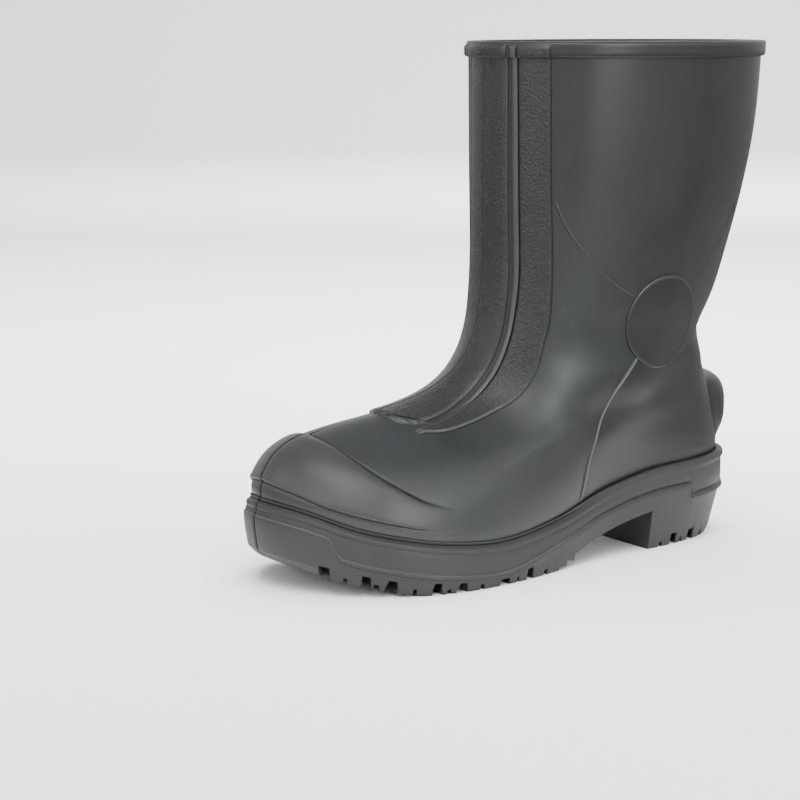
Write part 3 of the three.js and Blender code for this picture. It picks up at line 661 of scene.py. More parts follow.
def arch_at(along):
    t = np.linspace(0, 1, 40)
    p = np.array(ARCH_LINE, float)
    weights = np.stack([(1 - t) ** 3, 3 * t * (1 - t) ** 2, 3 * t * t * (1 - t), t**3], -1)
    line = weights @ p
    arch = np.interp((along - HEEL_LENGTH) / ARCH_LENGTH, line[:, 0], line[:, 1] * BREAST_HEIGHT)
    return np.where((along > HEEL_LENGTH) & (along < HEEL_LENGTH + ARCH_LENGTH), arch, 0.0)


def bottom_at(along):
    forward = np.maximum(0, (along - (SOLE_LENGTH - SPRING_START)) / SPRING_START)
    backward = np.maximum(0, 1 - along / HEEL_ROUND)
    return TOE_SPRING * forward**1.6 + HEEL_LIFT * np.clip(backward, 0, None) ** 2


def channel_mask(along, channels):
    """1 in a channel and 0 outside, for rows of place, width and front slope in millimetres."""
    mask = np.zeros_like(along)
    for place, width, slope in channels:
        rear = ease(place - width / 2 - 0.05, place - width / 2 + 0.35, along)
        front = 1 - ease(place + width / 2 - slope, place + width / 2 + 0.05, along)
        mask = np.maximum(mask, rear * front)
    return mask


OUTER_CHANNELS = tuple((row[0] * SOLE_LENGTH, row[1] * LUG_DEPTH, row[2]) for row in TREAD_CHANNELS)
INNER_CHANNELS = tuple((share * SOLE_LENGTH, LUG_DEPTH, 0.4) for share in MIDDLE_CHANNELS)


def sole_columns():
    """Turns around the sole, spaced evenly and closer at each channel's walls and at the heel's breast."""
    fine = np.linspace(0, HALF_WAY, 900)
    point, _ = form_at_height(fine, rim_at)
    along = along_of(point)
    length = np.concatenate([[0], np.cumsum(np.linalg.norm(np.diff(point, axis=0), axis=1))])
    stops = [np.interp(np.arange(0, length[-1], 2.2), length, fine)]
    places = [HEEL_LENGTH - 0.25, HEEL_LENGTH + 0.05]
    for middle, width, slope in OUTER_CHANNELS + TREAD_SLOTS + INNER_CHANNELS:
        rear, front = middle - width / 2, middle + width / 2
        places += [rear - 0.1, rear + 0.12, rear + 0.35]
        places += [front - slope, front - slope / 2, front - 0.12, front + 0.1]
    band_end = SOLE_LENGTH - BUMPER_LENGTH
    places += [HEEL_BAND_LENGTH - STEP_EASE * step for step in (0, 0.12, 0.25, 0.38, 0.5)]
    places += [tooth + shift for tooth in TEETH for shift in (-0.1, 0.1, 1.5, 3.0, 4.5)]
    places += [band_end - STEP_EASE * step for step in (0, 0.25, 0.5, 0.75, 1)]
    stops.append(np.interp(np.array(places), along[::-1], fine[::-1]))
    stops.append([0.0, 0.008, 0.016, 0.026, 0.04, float(HALF_WAY)])
    turns = np.unique(np.round(np.concatenate(stops), 4))
    keep = [turns[0]]
    for turn in turns[1:]:
        if turn - keep[-1] > 0.0035:
            keep.append(turn)
    keep[-1] = float(HALF_WAY)
    outer = np.array(keep)
    return np.concatenate([outer, AROUND - outer[-2:0:-1]])


def outsole():
    turns = sole_columns()
    rim, normal = form_at_height(turns, rim_at)
    along = along_of(rim)
    outwards = normal * (1, 1, 0)
    outwards /= np.linalg.norm(outwards, axis=-1, keepdims=True)
    at_heel = 1 - ease(HEEL_BAND_LENGTH - STEP_EASE / 2, HEEL_BAND_LENGTH, along)
    at_toe = ease(SOLE_LENGTH - BUMPER_LENGTH - STEP_EASE, SOLE_LENGTH - BUMPER_LENGTH, along)
    at_ball = ease(BALL_BAND_START, BALL_BAND_END, along)
    rim_up = rim_at(along)
    folded = np.where(turns > HALF_WAY, AROUND - turns, turns)
    across = np.abs(rim[:, 0] - rim[0, 0])
    parting = np.where(folded < 0.6, bell(across, 0.75, 4), 0.0)
    back_parting = np.where(folded > HALF_WAY - 0.6, bell(rim[:, 0], 0.5), 0.0)

    def drop_at(drop):
        share = ease(RIDGE_DROP / 2, RIDGE_DROP, drop)
        return drop + share * (HEEL_BAND_DROP * at_heel + BALL_BAND_DROP * at_ball - BUMPER_RISE * at_toe)

    def placed(reach, height):
        points = rim + outwards * (reach - 1.1 * parting + 0.25 * back_parting)[:, None]
        points[:, 2] = height
        return points

    forward = ease(85, 165, along)
    line_back = ease(150, 110, along) * (1 - bell(along - (HEEL_BAND_LENGTH - 2.5), 2.6))
    layers, cavity = [], []
    for drop, front_reach, heel_reach in RIM_PROFILE:
        bead = HEEL_BEAD * (1 - ease(0, HEEL_BAND_LENGTH, along))
        bead = bead * (1 - ease(BEAD_DROP, BEAD_DROP + 1.2, drop)) * ease(-0.3, 1.2, drop)
        reach = mix(heel_reach, front_reach, forward) - 0.5 * line_back * bell(drop - RIDGE_DROP, 0.5)
        layers.append(placed(reach + bead, rim_up - drop_at(drop)))
        top_groove = forward * bell(drop - 1.25, 0.5)
        fine_groove = 0.55 * forward * bell(drop - 5.8, 0.3) * ease(150, 220, along)
        ridge_line = mix(0.7 * line_back, 0.45, forward) * bell(drop - 12.4, 0.3)
        inside_lip = 0.9 * bell(drop, 0.15) * (front_reach < 0.5) + 0 * along
        # painted shade along the rim's grooves, the ridge line, the rim's top where it meets the upper, and the
        # parting line
        cavity.append(np.maximum.reduce([top_groove, fine_groove, ridge_line, inside_lip, 0.9 * parting]))
    band_foot = np.maximum(rim_up - drop_at(RIM_PROFILE[-1][0]), bottom_at(along) + LEAST_TREAD)
    arch = arch_at(along)
    toothed = (along > TEETH[0]) & (along < TEETH[-1] + TOOTH_PITCH)
    tooth = TOOTH_DEPTH * (1 - ((along - TEETH[0]) / TOOTH_PITCH) % 1) * toothed
    bottom = np.maximum(bottom_at(along), arch - tooth)
    full = np.clip(band_foot - LEAST_TREAD * 0.5 - bottom, 0.5, LUG_DEPTH)
    deep = channel_mask(along, OUTER_CHANNELS)
    slots = channel_mask(along, TREAD_SLOTS)
    side_cut = bottom + np.maximum(deep * full, slots * np.minimum(full, SLOT_DEPTH))
    taper = mix(HEEL_TAPER, SIDE_TAPER, ease(HEEL_ROUND, HEEL_LENGTH, along))
    bevelled = ease(BEVEL_START, BEVEL_START + 3.5, along)
    bevel_top = bottom + BEVEL_HEIGHT
    # share of the way down, and height above the bottom where the toe's bevel has taken over
    foot_rows = (
        (0.06, None, 0), (0.3, None, 0), (0.6, BEVEL_HEIGHT + 0.5, 0), (0.8, BEVEL_HEIGHT - 0.3, 0),
        (0.92, 1.2, 0.02), (0.975, 0.4, 0.12), (1.0, 0.0, 0.35),
    )
    for share, above, rounding in foot_rows:
        height = mix(band_foot, bottom, share)
        if above is not None:
            height = mix(height, bottom + above, bevelled)
        bevel = bevelled * np.clip(bevel_top - height, 0, None) * 0.8
        below = np.clip(rim_up - RIM_PROFILE[-1][0] - height, 0, None)
        reach = SIDE_REACH - 1.2 * rounding - taper * below - bevel
        layers.append(placed(reach, np.maximum(height, side_cut)))
        # painted shade inside the deep channels and along the parting line
        cavity.append(np.maximum(0.6 * deep * (height < side_cut), 0.9 * parting))
    bevel_marks = len(layers)

    # the tread, row by row inwards to the sole's middle line
    spine_along = np.clip(along, SPINE_START, SPINE_END)
    half_count = np.argmax(turns >= HALF_WAY)
    order = np.argsort(along[: half_count + 1])
    outer_x = np.interp(spine_along, along[: half_count + 1][order], rim[: half_count + 1, 0][order])
    inner_part = np.concatenate([[0], np.arange(len(turns) - 1, half_count - 1, -1)])
    order = np.argsort(along[inner_part])
    inner_x = np.interp(spine_along, along[inner_part][order], rim[inner_part, 0][order])
    middle = np.stack([(outer_x + inner_x) / 2, SOLE_LENGTH / 2 - spine_along, 0 * along], -1)
    edge = layers[-1]
    half = np.linalg.norm((edge - middle)[:, :2], axis=1)
    ball = along > SOLE_LENGTH * STATIONS["mid"]
    first = np.clip(np.where(ball, BALL_WIDTH / 2 - LUG_REACH, LUG_REACH), 0, half * 0.8)
    second = np.clip(np.where(ball, BALL_WIDTH / 2 - LUG_REACH - LUG_DEPTH, LUG_REACH / 2), 0, half * 0.6)
    middle_cut = channel_mask(along, INNER_CHANNELS)
    # each row's distance from the middle line, and how far in the channels of the two zones reach
    places = [half - 0.8, half - 2.5, mix(half, first, 0.45), first + 0.35, first - 0.05]
    places += [mix(first, second, 0.5), second + 0.35, second - 0.05, second * 0.6, second * 0.25, 0 * half]
    first_rows, second_rows = 4, 7
    for i, place in enumerate(places):
        share = np.clip(1 - place / np.maximum(half, 1e-6), 0, 1)
        points = edge + (middle - edge) * share[:, None]
        outer_here = np.where(ball, i < first_rows, i < second_rows)
        middle_here = np.where(ball, i >= second_rows, i >= first_rows)
        outer_cut = np.maximum(deep * full * outer_here, slots * SLOT_DEPTH * outer_here)
        cut = np.maximum(outer_cut, middle_cut * full * middle_here)
        points[:, 2] = bottom + cut
        layers.append(points)
        # painted shade in the tread's channels
        cavity.append(0.8 * (cut > 1.0))

    # back over the rim: the cup's wall and the footbed under the insole
    inner_layers = []
    for share in (1.0, 0.55, 0.15):
        place, outward = form_at_height(turns, lambda s, share=share: mix(rim_at(s), bed_at(s), share))
        inner_layers.append(place + outward * GAP)
    bed_edge = inner_layers[0]
    beds = []
    for share in (1.0, 0.6, 0.3, 0.1):
        points = bed_edge + (middle - bed_edge) * share
        points[:, 2] = bed_at(np.clip(along_of(points), 0, SOLE_LENGTH))
        beds.append(points)
    loops = [*beds, *inner_layers, *layers]
    cavity = [np.zeros(len(turns))] * (len(beds) + len(inner_layers)) + cavity
    faces = loops_to_faces(len(loops), len(turns))
    # painted highlights on the rim's top lip and on the ridge in front of the heel, and a lighter bevel under the
    # toe
    first_row = len(beds) + len(inner_layers)
    drops = [row[0] for row in RIM_PROFILE]
    lip, bevel_mark = np.zeros((len(loops), len(turns))), np.zeros((len(loops), len(turns)))
    for i, drop in enumerate(drops):
        # painted highlight on the rim's rolled top edge and along the ridge line
        lip[first_row + i] = forward * np.maximum(0.9 * (i == 3), 0.75 * bell(drop - 12.95, 0.22))
        lip[first_row + i] *= 1 - parting
    for i in range(len(drops) + 3, bevel_marks):
        bevel_mark[first_row + i] = bevelled * (1 - parting)
    marks = {"cavity": np.concatenate(cavity), "lip": lip.ravel(), "bevel": bevel_mark.ravel()}
    piece = new_piece("boot_outsole", np.concatenate(loops), faces, marks)
    merge_doubles(piece)
    return piece


# ---------------------------------------------------------------- the insole and the lining


def insole():
    turns = np.linspace(0, AROUND, 180, endpoint=False)
    thick = INSOLE_THICKNESS

    def loop(lift, inset):
        place, outward = form_at_height(turns, lambda s: bed_at(s) + GAP + lift)
        return place - outward * (WALL + GAP + inset)

    low, top = loop(0.0, 0.0), loop(thick, 0.0)
    low[:, 2] = bed_at(along_of(low)) + GAP
    side = [low, loop(thick * 0.5, 0.0), loop(thick * 0.85, 0.15), loop(thick, 0.9)]
    along = along_of(top)
    spine = np.clip(along, 42, 268)
    fine, _ = form_at_height(np.linspace(0, HALF_WAY, 200), lambda s: bed_at(s) + thick)
    other, _ = form_at_height(AROUND - np.linspace(0, HALF_WAY, 200), lambda s: bed_at(s) + thick)
    x = np.interp(spine, along_of(fine)[::-1], (fine[:, 0] + other[:, 0])[::-1] / 2)
    middle = np.stack([x, SOLE_LENGTH / 2 - spine, 0 * x], -1)

    def fill(edge, lift, dome):
        rows = []
        for share in (0.06, 0.16, 0.3, 0.45, 0.6, 0.75, 0.9, 1.0):
            points = edge + (middle - edge) * share
            cup = 1 - ease(55, 120, along_of(points))
            points[:, 2] = bed_at(along_of(points)) + GAP + lift + dome * (0.5 - share) * mix(0.4, 1.0, cup)
            rows.append(points)
        return rows

    loops = [*fill(low, 0.0, 0.0)[::-1], *side, *fill(side[-1], thick, 0.5)]
    piece = new_piece("boot_insole", np.concatenate(loops), loops_to_faces(len(loops), len(turns)))
    merge_doubles(piece)
    return piece


def lining():
    """A thin knitted sock bonded inside the wall, from under the collar's lip down to the insole."""
    count = 150
    turns = np.linspace(0, AROUND, count, endpoint=False)
    levels = np.concatenate([np.linspace(TOP_RING - 0.22, 9, 18), np.linspace(8.7, 1.0, 24)])
    thin = 0.9

    def loop(level, depth):
        place, outward = form(np.full(count, level), turns)
        return place - outward * (WALL + depth)

    inner = [loop(level, thin) for level in levels]
    outer = [loop(level, 0.05) for level in levels[::-1]]
    hem = [loop(levels[0] + 0.012, 0.35), loop(levels[0] + 0.012, 0.65)]
    loops = [*hem, *inner, *outer]
    faces = loops_to_faces(len(loops), count, closed_rows=True)
    return new_piece("boot_lining", np.concatenate(loops), faces)


# ---------------------------------------------------------------- the raised seams

# Name, line, half width and height in millimetres, and how strong a painted highlight lies along its crown.
SEAMS = (
    ("heel", HEEL_SEAM, 0.95, 0.85, 1.0),
    ("shaft", SHAFT_SEAM, 0.8, 0.3, 0.1),
    ("calf", CALF_SEAM, 0.8, 0.35, 0.1),
)
# Across a seam: shares of its half width and of its height, -1 being sunk in the wall.
SEAM_SECTION = (
    (-1.3, -1.0), (-1.0, 0.0), (-0.72, 0.55), (-0.38, 0.9), (0.0, 1.0), (0.38, 0.9), (0.72, 0.55), (1.0, 0.0),
    (1.3, -1.0),
)
SEAM_SINK = 0.7


def plain_marks(plain, **marks):
    """The finish's marks for a piece off the panels and the cap, with those given in their place."""
    far, kept = plain - 99.0, {"panel": plain, "cavity": plain, "edge": plain}
    return {"pebble": far, **kept, **marks, "cap": far}


def mould_seams(name, side):
    """The thin half-round seams that the mould leaves on one side of the upper."""
    points, faces, across = [], [], []
    for _, edge, half_width, height, light in SEAMS:
        line = smooth_line(edge, 24)
        place, normal = form(line[:, 0], line[:, 1] if side > 0 else AROUND - line[:, 1])
        length = np.concatenate([[0], np.cumsum(np.linalg.norm(np.diff(place, axis=0), axis=1))])
        steps = np.arange(0, length[-1], 0.8)
        place = np.stack([np.interp(steps, length, place[:, axis]) for axis in range(3)], -1)
        normal = np.stack([np.interp(steps, length, normal[:, axis]) for axis in range(3)], -1)
        normal /= np.linalg.norm(normal, axis=1, keepdims=True)
        sideways = np.cross(normal, np.gradient(place, axis=0))
        sideways /= np.linalg.norm(sideways, axis=1, keepdims=True)
        ends = rounded(np.minimum(steps, steps[-1] - steps + 0.05) / 4.0 + 0.02)
        first = sum(len(part) for part in points)
        rows = []
        for shift, up in SEAM_SECTION:
            lift = np.where(up < 0, -SEAM_SINK, up * height * ends)
            aside = shift * half_width * mix(0.5, 1.0, ends)
            rows.append(place + sideways * aside[:, None] + normal * lift[:, None])
        loops = np.stack(rows, 1)
        count = len(SEAM_SECTION)
        points.append(loops.reshape(-1, 3))
        # painted highlight along each seam's crown, strongest on the heel seam
        marks = [abs(shift) * half_width + (1 - light) for shift, _ in SEAM_SECTION]
        across.append(np.tile(marks, len(steps)))
        faces += (loops_to_faces(len(steps), count) + first).tolist()
        last = first + (len(steps) - 1) * count
        faces += [list(range(first, first + count))[::-1], list(range(last, last + count))]
    across = np.concatenate(across)
    plain = np.zeros(len(across))
    # the seams take half of the rear's warmer tone and painted shade
    return new_piece(name, np.concatenate(points), faces, plain_marks(plain, seam=across, rear=plain + 0.5))


# ---------------------------------------------------------------- the ankle discs

DISC_ALONG, DISC_UP, DISC_RADIUS = 79.3, 134.0, 26.8
# From the edge inwards: radius as a share of the disc's, and height above the form in millimetres.
DISC_PROFILE = (
    (1.02, -0.9), (1.0, 0.0), (0.997, 0.5), (0.988, 0.85), (0.97, 1.0), (0.955, 0.96), (0.945, 0.8),
    (0.935, 0.72),
    (0.915, 0.75), (0.88, 0.8), (0.7, 0.9), (0.45, 1.0), (0.2, 1.05), (0.0, 1.05),
)


def side_of_form(along, up, side):
    """The form's point and normal straight out to one side of a place seen from the side."""
    ring = np.full_like(along, 8.6)
    turn = np.full_like(along, 3.3)
    for _ in range(14):
        point, _ = form(ring, turn)
        step_r, _ = form(ring + 0.01, turn)
        step_t, _ = form(ring, turn + 0.01)
        dr = (step_r - point) / 0.01
        dt = (step_t - point) / 0.01
        miss_y = (SOLE_LENGTH / 2 - along) - point[..., 1]
        miss_z = up - point[..., 2]
        det = dr[..., 1] * dt[..., 2] - dr[..., 2] * dt[..., 1]
        ring = np.clip(ring + (miss_y * dt[..., 2] - miss_z * dt[..., 1]) / det, 5, 13)
        turn = np.clip(turn + (dr[..., 1] * miss_z - dr[..., 2] * miss_y) / det, 1, 6)
    point, normal = form(ring, turn if side > 0 else AROUND - turn)
    return point, normal


def ankle_disc(name, side):
    """A low round plate on the ankle with a fine raised rim; its face is left plain."""
    count = 96
    angle = np.linspace(0, 2 * math.pi, count, endpoint=False)
    rows = [(radius, -0.9) for radius in (0.0, 0.5, 0.9)] + list(DISC_PROFILE)
    layers = []
    for radius, up_by in rows:
        along = DISC_ALONG + np.cos(angle) * DISC_RADIUS * radius
        up = DISC_UP + np.sin(angle) * DISC_RADIUS * radius
        point, normal = side_of_form(along, up, side)
        layers.append(point + normal * up_by)
    radii = np.repeat([radius for radius, _ in rows], count)
    # painted highlight on the rim's upper front part and painted shade on its lower front part, with painted shade
    # in the groove inside the rim
    lit = np.tile(np.clip(np.cos(angle - 0.9), 0, 1), len(rows))
    shaded = np.tile(np.clip(np.cos(angle + 0.7), 0, 1), len(rows))
    plain = np.zeros(len(radii))
    marks = plain_marks(
        plain,
        seam=np.clip(np.abs(radii - 0.988) * DISC_RADIUS + 0.25 + 0.6 * (1 - lit), 0, 6),
        cavity=0.2 * bell((radii - 0.94) * DISC_RADIUS, 0.4) + (0.1 + 0.75 * shaded) * (radii > 0.998),
        # the disc takes the rear's warmer tone and painted shade in full
        rear=plain + 1.0,
    )
    piece = new_piece(name, np.concatenate(layers), loops_to_faces(len(layers), count), marks)
    merge_doubles(piece)
    return piece


# ---------------------------------------------------------------- materials

BODY_DARK, BODY_LIGHT = (0.0118, 0.0132, 0.0138), (0.0145, 0.0163, 0.017)
# A warmer dark tone behind the heel seam, carrying painted shade there and towards the top of the shaft.
REAR_TONE_AND_SHADE = (0.0095, 0.0092, 0.0098)
CAP_COLOUR = (0.0205, 0.0203, 0.0215)
# Panel colour, and painted shade for the valleys between pebbles.
PANEL_COLOUR, PANEL_VALLEY_SHADE = (0.0165, 0.0155, 0.0168), (0.0105, 0.0098, 0.0108)
SOLE_DARK, SOLE_LIGHT = (0.017, 0.0164, 0.0168), (0.0207, 0.0199, 0.0198)
BEVEL_COLOUR = (0.062, 0.06, 0.052)
# Painted shade laid into grooves, channels and slots.
GROOVE_SHADE_COLOUR = (0.003, 0.003, 0.0033)
# Painted highlight: a light grey laid along seam crowns, raised edges and the rim's lip.
PAINTED_HIGHLIGHT_COLOUR = (0.13, 0.135, 0.135)
DUST_COLOUR, SOLE_DUST = (0.2, 0.2, 0.19), (0.22, 0.21, 0.2)
# How the nodes are set out in the editor.
NODES_IN_COLUMN, NODE_WIDTH, NODE_HEIGHT = 4, 220, 260


def node_tree(name):
    material = bpy.data.materials.new(name)
    material.use_nodes = True
    return material, material.node_tree


class Wiring:
    """Adds nodes to a tree, sets them out in columns, and feeds their sockets."""

    def __init__(self, tree):
        self.tree = tree
        self.count = 0

    def add(self, kind, label=None, **settings):
        node = self.tree.nodes.new(kind)
        column, row = divmod(self.count, NODES_IN_COLUMN)
        node.location = (column * NODE_WIDTH - 1500, -row * NODE_HEIGHT)
        self.count += 1
        node.label = label or ""
        for key, value in settings.items():
            setattr(node, key, value)
        return node

    def feed(self, value, socket):
        """Joins another socket to this one, or sets a number or a colour on it."""
        if isinstance(value, bpy.types.NodeSocket):
            self.tree.links.new(value, socket)
        elif socket.type == "RGBA":
            socket.default_value = (*value, 1.0)
        else:
            socket.default_value = value

    def math(self, operation, *values, label=None):
        node = self.add("ShaderNodeMath", label, operation=operation)
        for socket, value in zip(node.inputs, values):
            self.feed(value, socket)
        return node.outputs[0]

    def ramp(self, value, low, high, start=0.0, end=1.0, label=None):
        node = self.add("ShaderNodeMapRange", label, interpolation_type="SMOOTHSTEP")
        for socket, given in zip(node.inputs, (value, low, high, start, end)):
            self.feed(given, socket)
        return node.outputs["Result"]

    def noise(self, vector, scale, detail=3.0, rough=0.5, label=None):
        node = self.add("ShaderNodeTexNoise", label)
        for name, given in (("Vector", vector), ("Scale", scale), ("Detail", detail), ("Roughness", rough)):
            self.feed(given, node.inputs[name])
        return node

    def mix_colour(self, share, first, second, label=None):
        node = self.add("ShaderNodeMix", label, data_type="RGBA")
        for place, given in ((0, share), (6, first), (7, second)):
            self.feed(given, node.inputs[place])
        return node.outputs[2]

    def bump(self, height, strength, distance, label, normal=None):
        node = self.add("ShaderNodeBump", label)
        for name, given in (("Height", height), ("Strength", strength), ("Distance", distance)):
            self.feed(given, node.inputs[name])
        if normal:
            self.feed(normal, node.inputs["Normal"])
        return node.outputs["Normal"]

    def attribute(self, name):
        return self.add("ShaderNodeAttribute", name, attribute_name=name).outputs["Fac"]

    def place(self):
        return self.add("ShaderNodeTexCoord").outputs["Object"]

    def group(self, group, **given):
        node = self.add("ShaderNodeGroup", group.name, node_tree=group)
        for name, value in given.items():
            self.feed(value, node.inputs[name])
        return node.outputs


def effect_group(name, inputs, outputs):
    """A new group with its outer sockets, as the group, the sockets at its two ends, and its wiring."""
    group = bpy.data.node_groups.new(name, "ShaderNodeTree")
    group.interface.new_socket("Vector", in_out="INPUT", socket_type="NodeSocketVector")
    for way, sockets in (("INPUT", inputs), ("OUTPUT", outputs)):
        for socket in sockets:
            group.interface.new_socket(socket, in_out=way, socket_type="NodeSocketFloat")
    w = Wiring(group)
    start, end = w.add("NodeGroupInput"), w.add("NodeGroupOutput")
    return group, start.outputs, end.inputs, w


def fine_grain_group():
    """The mould's fine blasted grain: a height and a speckle that follow the surface."""
    group, start, end, w = effect_group("Fine moulded grain", (), ("Height", "Speckle"))
    small = w.noise(start["Vector"], 1500.0, 2.0, 0.55, "Blasted grain, under a millimetre").outputs["Fac"]
    wide = w.noise(start["Vector"], 420.0, 2.0, 0.5, "Wider orange peel").outputs["Fac"]
    w.feed(w.math("MULTIPLY_ADD", wide, 0.6, small), end["Height"])
    w.feed(w.ramp(small, 0.35, 0.68), end["Speckle"])
    return group


def pebble_group():
    """The leather-like pebble of the shin panels: rounded cells with fine wrinkles between them."""
    group, start, end, w = effect_group("Pebbled panel grain", ("Inside",), ("Height", "Valley shade"))
    bend = w.add("ShaderNodeTexNoise", "Bends the cells")
    w.feed(start["Vector"], bend.inputs["Vector"])
    w.feed(260.0, bend.inputs["Scale"])
    shift = w.add("ShaderNodeVectorMath", "Bent place", operation="MULTIPLY_ADD")
    reach = (0.0016, 0.0016, 0.0016)
    for socket, value in zip(shift.inputs, (bend.outputs["Color"], reach, start["Vector"])):
        w.feed(value, socket)
    cells = w.add("ShaderNodeTexVoronoi", "Pebbles", feature="SMOOTH_F1")
    for name, value in (("Vector", shift.outputs[0]), ("Scale", 760.0), ("Smoothness", 0.45)):
        w.feed(value, cells.inputs[name])
    wrinkle = w.noise(shift.outputs[0], 1300.0, 2.0, 0.5, "Wrinkles between pebbles").outputs["Fac"]
    dome = w.ramp(cells.outputs["Distance"], 0.1, 0.75, 1.0, 0.0)
    both = w.math("MULTIPLY_ADD", wrinkle, 0.55, dome)
    inside = w.ramp(start["Inside"], 0.3, 1.2, label="Stops short of the panel's edge")
    # painted shade in the valleys between pebbles
    valley_shade = w.ramp(cells.outputs["Distance"], 0.45, 0.8)
    w.feed(w.math("MULTIPLY", both, inside), end["Height"])
    w.feed(w.math("MULTIPLY", valley_shade, inside), end["Valley shade"])
    return group


def handling_group():
    """Light dust, rub marks and uneven gloss from the mould and from handling."""
    group, start, end, w = effect_group("Handling and bloom", (), ("Cloud", "Dust", "Rubs"))
    cloud = w.noise(start["Vector"], 14.0, 4.0, 0.55, "Clouds of bloom").outputs["Fac"]
    w.feed(w.ramp(cloud, 0.35, 0.68), end["Cloud"])
    dots = w.add("ShaderNodeTexVoronoi", "Sparse dust specks", feature="F1")
    w.feed(start["Vector"], dots.inputs["Vector"])
    w.feed(150.0, dots.inputs["Scale"])
    near = w.ramp(dots.outputs["Distance"], 0.035, 0.07, 1.0, 0.0)
    pick = w.ramp(w.noise(start["Vector"], 60.0, 1.0, 0.5).outputs["Fac"], 0.62, 0.68)
    w.feed(w.math("MULTIPLY", near, pick), end["Dust"])
    stretch = w.add("ShaderNodeMapping", "Long thin rubs")
    for name, value in (
        ("Vector", start["Vector"]), ("Rotation", (0.5, 0.9, 0.3)), ("Scale", (220.0, 9.0, 60.0)),
    ):
        w.feed(value, stretch.inputs[name])
    rubs = w.noise(stretch.outputs["Vector"], 1.0, 2.0, 0.5, "Rub marks").outputs["Fac"]
    w.feed(w.math("MULTIPLY", w.ramp(rubs, 0.68, 0.78), w.ramp(cloud, 0.45, 0.7)), end["Rubs"])
    return group


FINE_GRAIN, PEBBLE, HANDLING = fine_grain_group(), pebble_group(), handling_group()


def satin_shine(w, cavity, level):
    """The rubber's shine: none down in the grooves, and dulled by bloom where it is seen edge on."""
    gloss = w.ramp(cavity, 0.3, 1.0, level, 0.04, "No shine down in the grooves")
    facing = w.add("ShaderNodeLayerWeight", "Seen edge on")
    w.feed(0.5, facing.inputs["Blend"])
    dulled = w.ramp(facing.outputs["Facing"], 0.55, 0.95, 1.0, 0.25, "Dulled by bloom")
    return w.math("MULTIPLY", gloss, dulled)


def upper_rubber():
    """Satin charcoal rubber: green-grey on the smooth body, warmer and pebbled on the shin panels."""
    material, tree = node_tree("Upper rubber")
    w = Wiring(tree)
    shader = tree.nodes["Principled BSDF"].inputs
    place = w.place()
    names = ("pebble", "cavity", "seam", "edge", "rear", "cap", "panel")
    pebble_mark, cavity, seam, edge, rear, cap, on_front = (w.attribute(name) for name in names)
    grain = w.group(FINE_GRAIN, Vector=place)
    pebble = w.group(PEBBLE, Vector=place, Inside=pebble_mark)
    handling = w.group(HANDLING, Vector=place)

    on_panel = w.ramp(pebble_mark, -0.1, 0.4, label="On a pebbled panel")
    on_cap = w.ramp(cap, -0.3, 3.0, label="On the toe")
    # painted shade in the valleys between pebbles
    pebble_valley_shade = w.math("MULTIPLY", pebble["Valley shade"], 0.5)
    # painted shade in the grooves
    groove_shade = w.ramp(cavity, 0.15, 0.95)
    # painted highlights along the seams' crowns, the discs' rims and the panels' raised edges
    seam_highlight = w.math("MULTIPLY", w.ramp(seam, 0.1, 0.6, 1.0, 0.0), 0.6)
    painted_highlight = w.math("MAXIMUM", seam_highlight, w.math("MULTIPLY", edge, 0.25))
    dust = w.math("MULTIPLY", handling["Dust"], 0.2)
    colour = w.mix_colour(handling["Cloud"], BODY_DARK, BODY_LIGHT, "Green-grey body")
    for share, laid_over, label in (
        (rear, REAR_TONE_AND_SHADE, "Warmer tone and painted shade behind the heel seam and up the shaft"),
        (on_cap, CAP_COLOUR, "Toe"),
        (on_front, PANEL_COLOUR, "Shin panels and the strip between them"),
        (pebble_valley_shade, PANEL_VALLEY_SHADE, "Valleys between pebbles"),
        (groove_shade, GROOVE_SHADE_COLOUR, "Painted shade in the grooves"),
        (painted_highlight, PAINTED_HIGHLIGHT_COLOUR, "Painted highlights on raised edges and seams"),
        (dust, DUST_COLOUR, "Dust specks"),
    ):
        colour = w.mix_colour(share, colour, laid_over, label)
    w.feed(colour, shader["Base Color"])

    rough = w.ramp(handling["Cloud"], 0.0, 1.0, 0.35, 0.41, "Uneven satin")
    changes = ((grain["Speckle"], 0.06), (on_panel, -0.04), (cavity, 0.35), (handling["Rubs"], -0.06))
    for mark, change in changes:
        rough = w.math("MULTIPLY_ADD", mark, change, rough)
    w.feed(rough, shader["Roughness"])
    dry = w.math("MULTIPLY_ADD", on_panel, -0.35, 1.0, label="Drier on the panels")
    w.feed(w.math("MULTIPLY", satin_shine(w, cavity, 0.5), dry), shader["Specular IOR Level"])

    fine = w.math("MULTIPLY", grain["Height"], w.math("SUBTRACT", 1.0, on_panel))
    smooth = w.bump(fine, 0.22, 0.0002, "Fine grain")
    w.feed(w.bump(pebble["Height"], 0.5, 0.00034, "Pebbles", smooth), shader["Normal"])
    return material


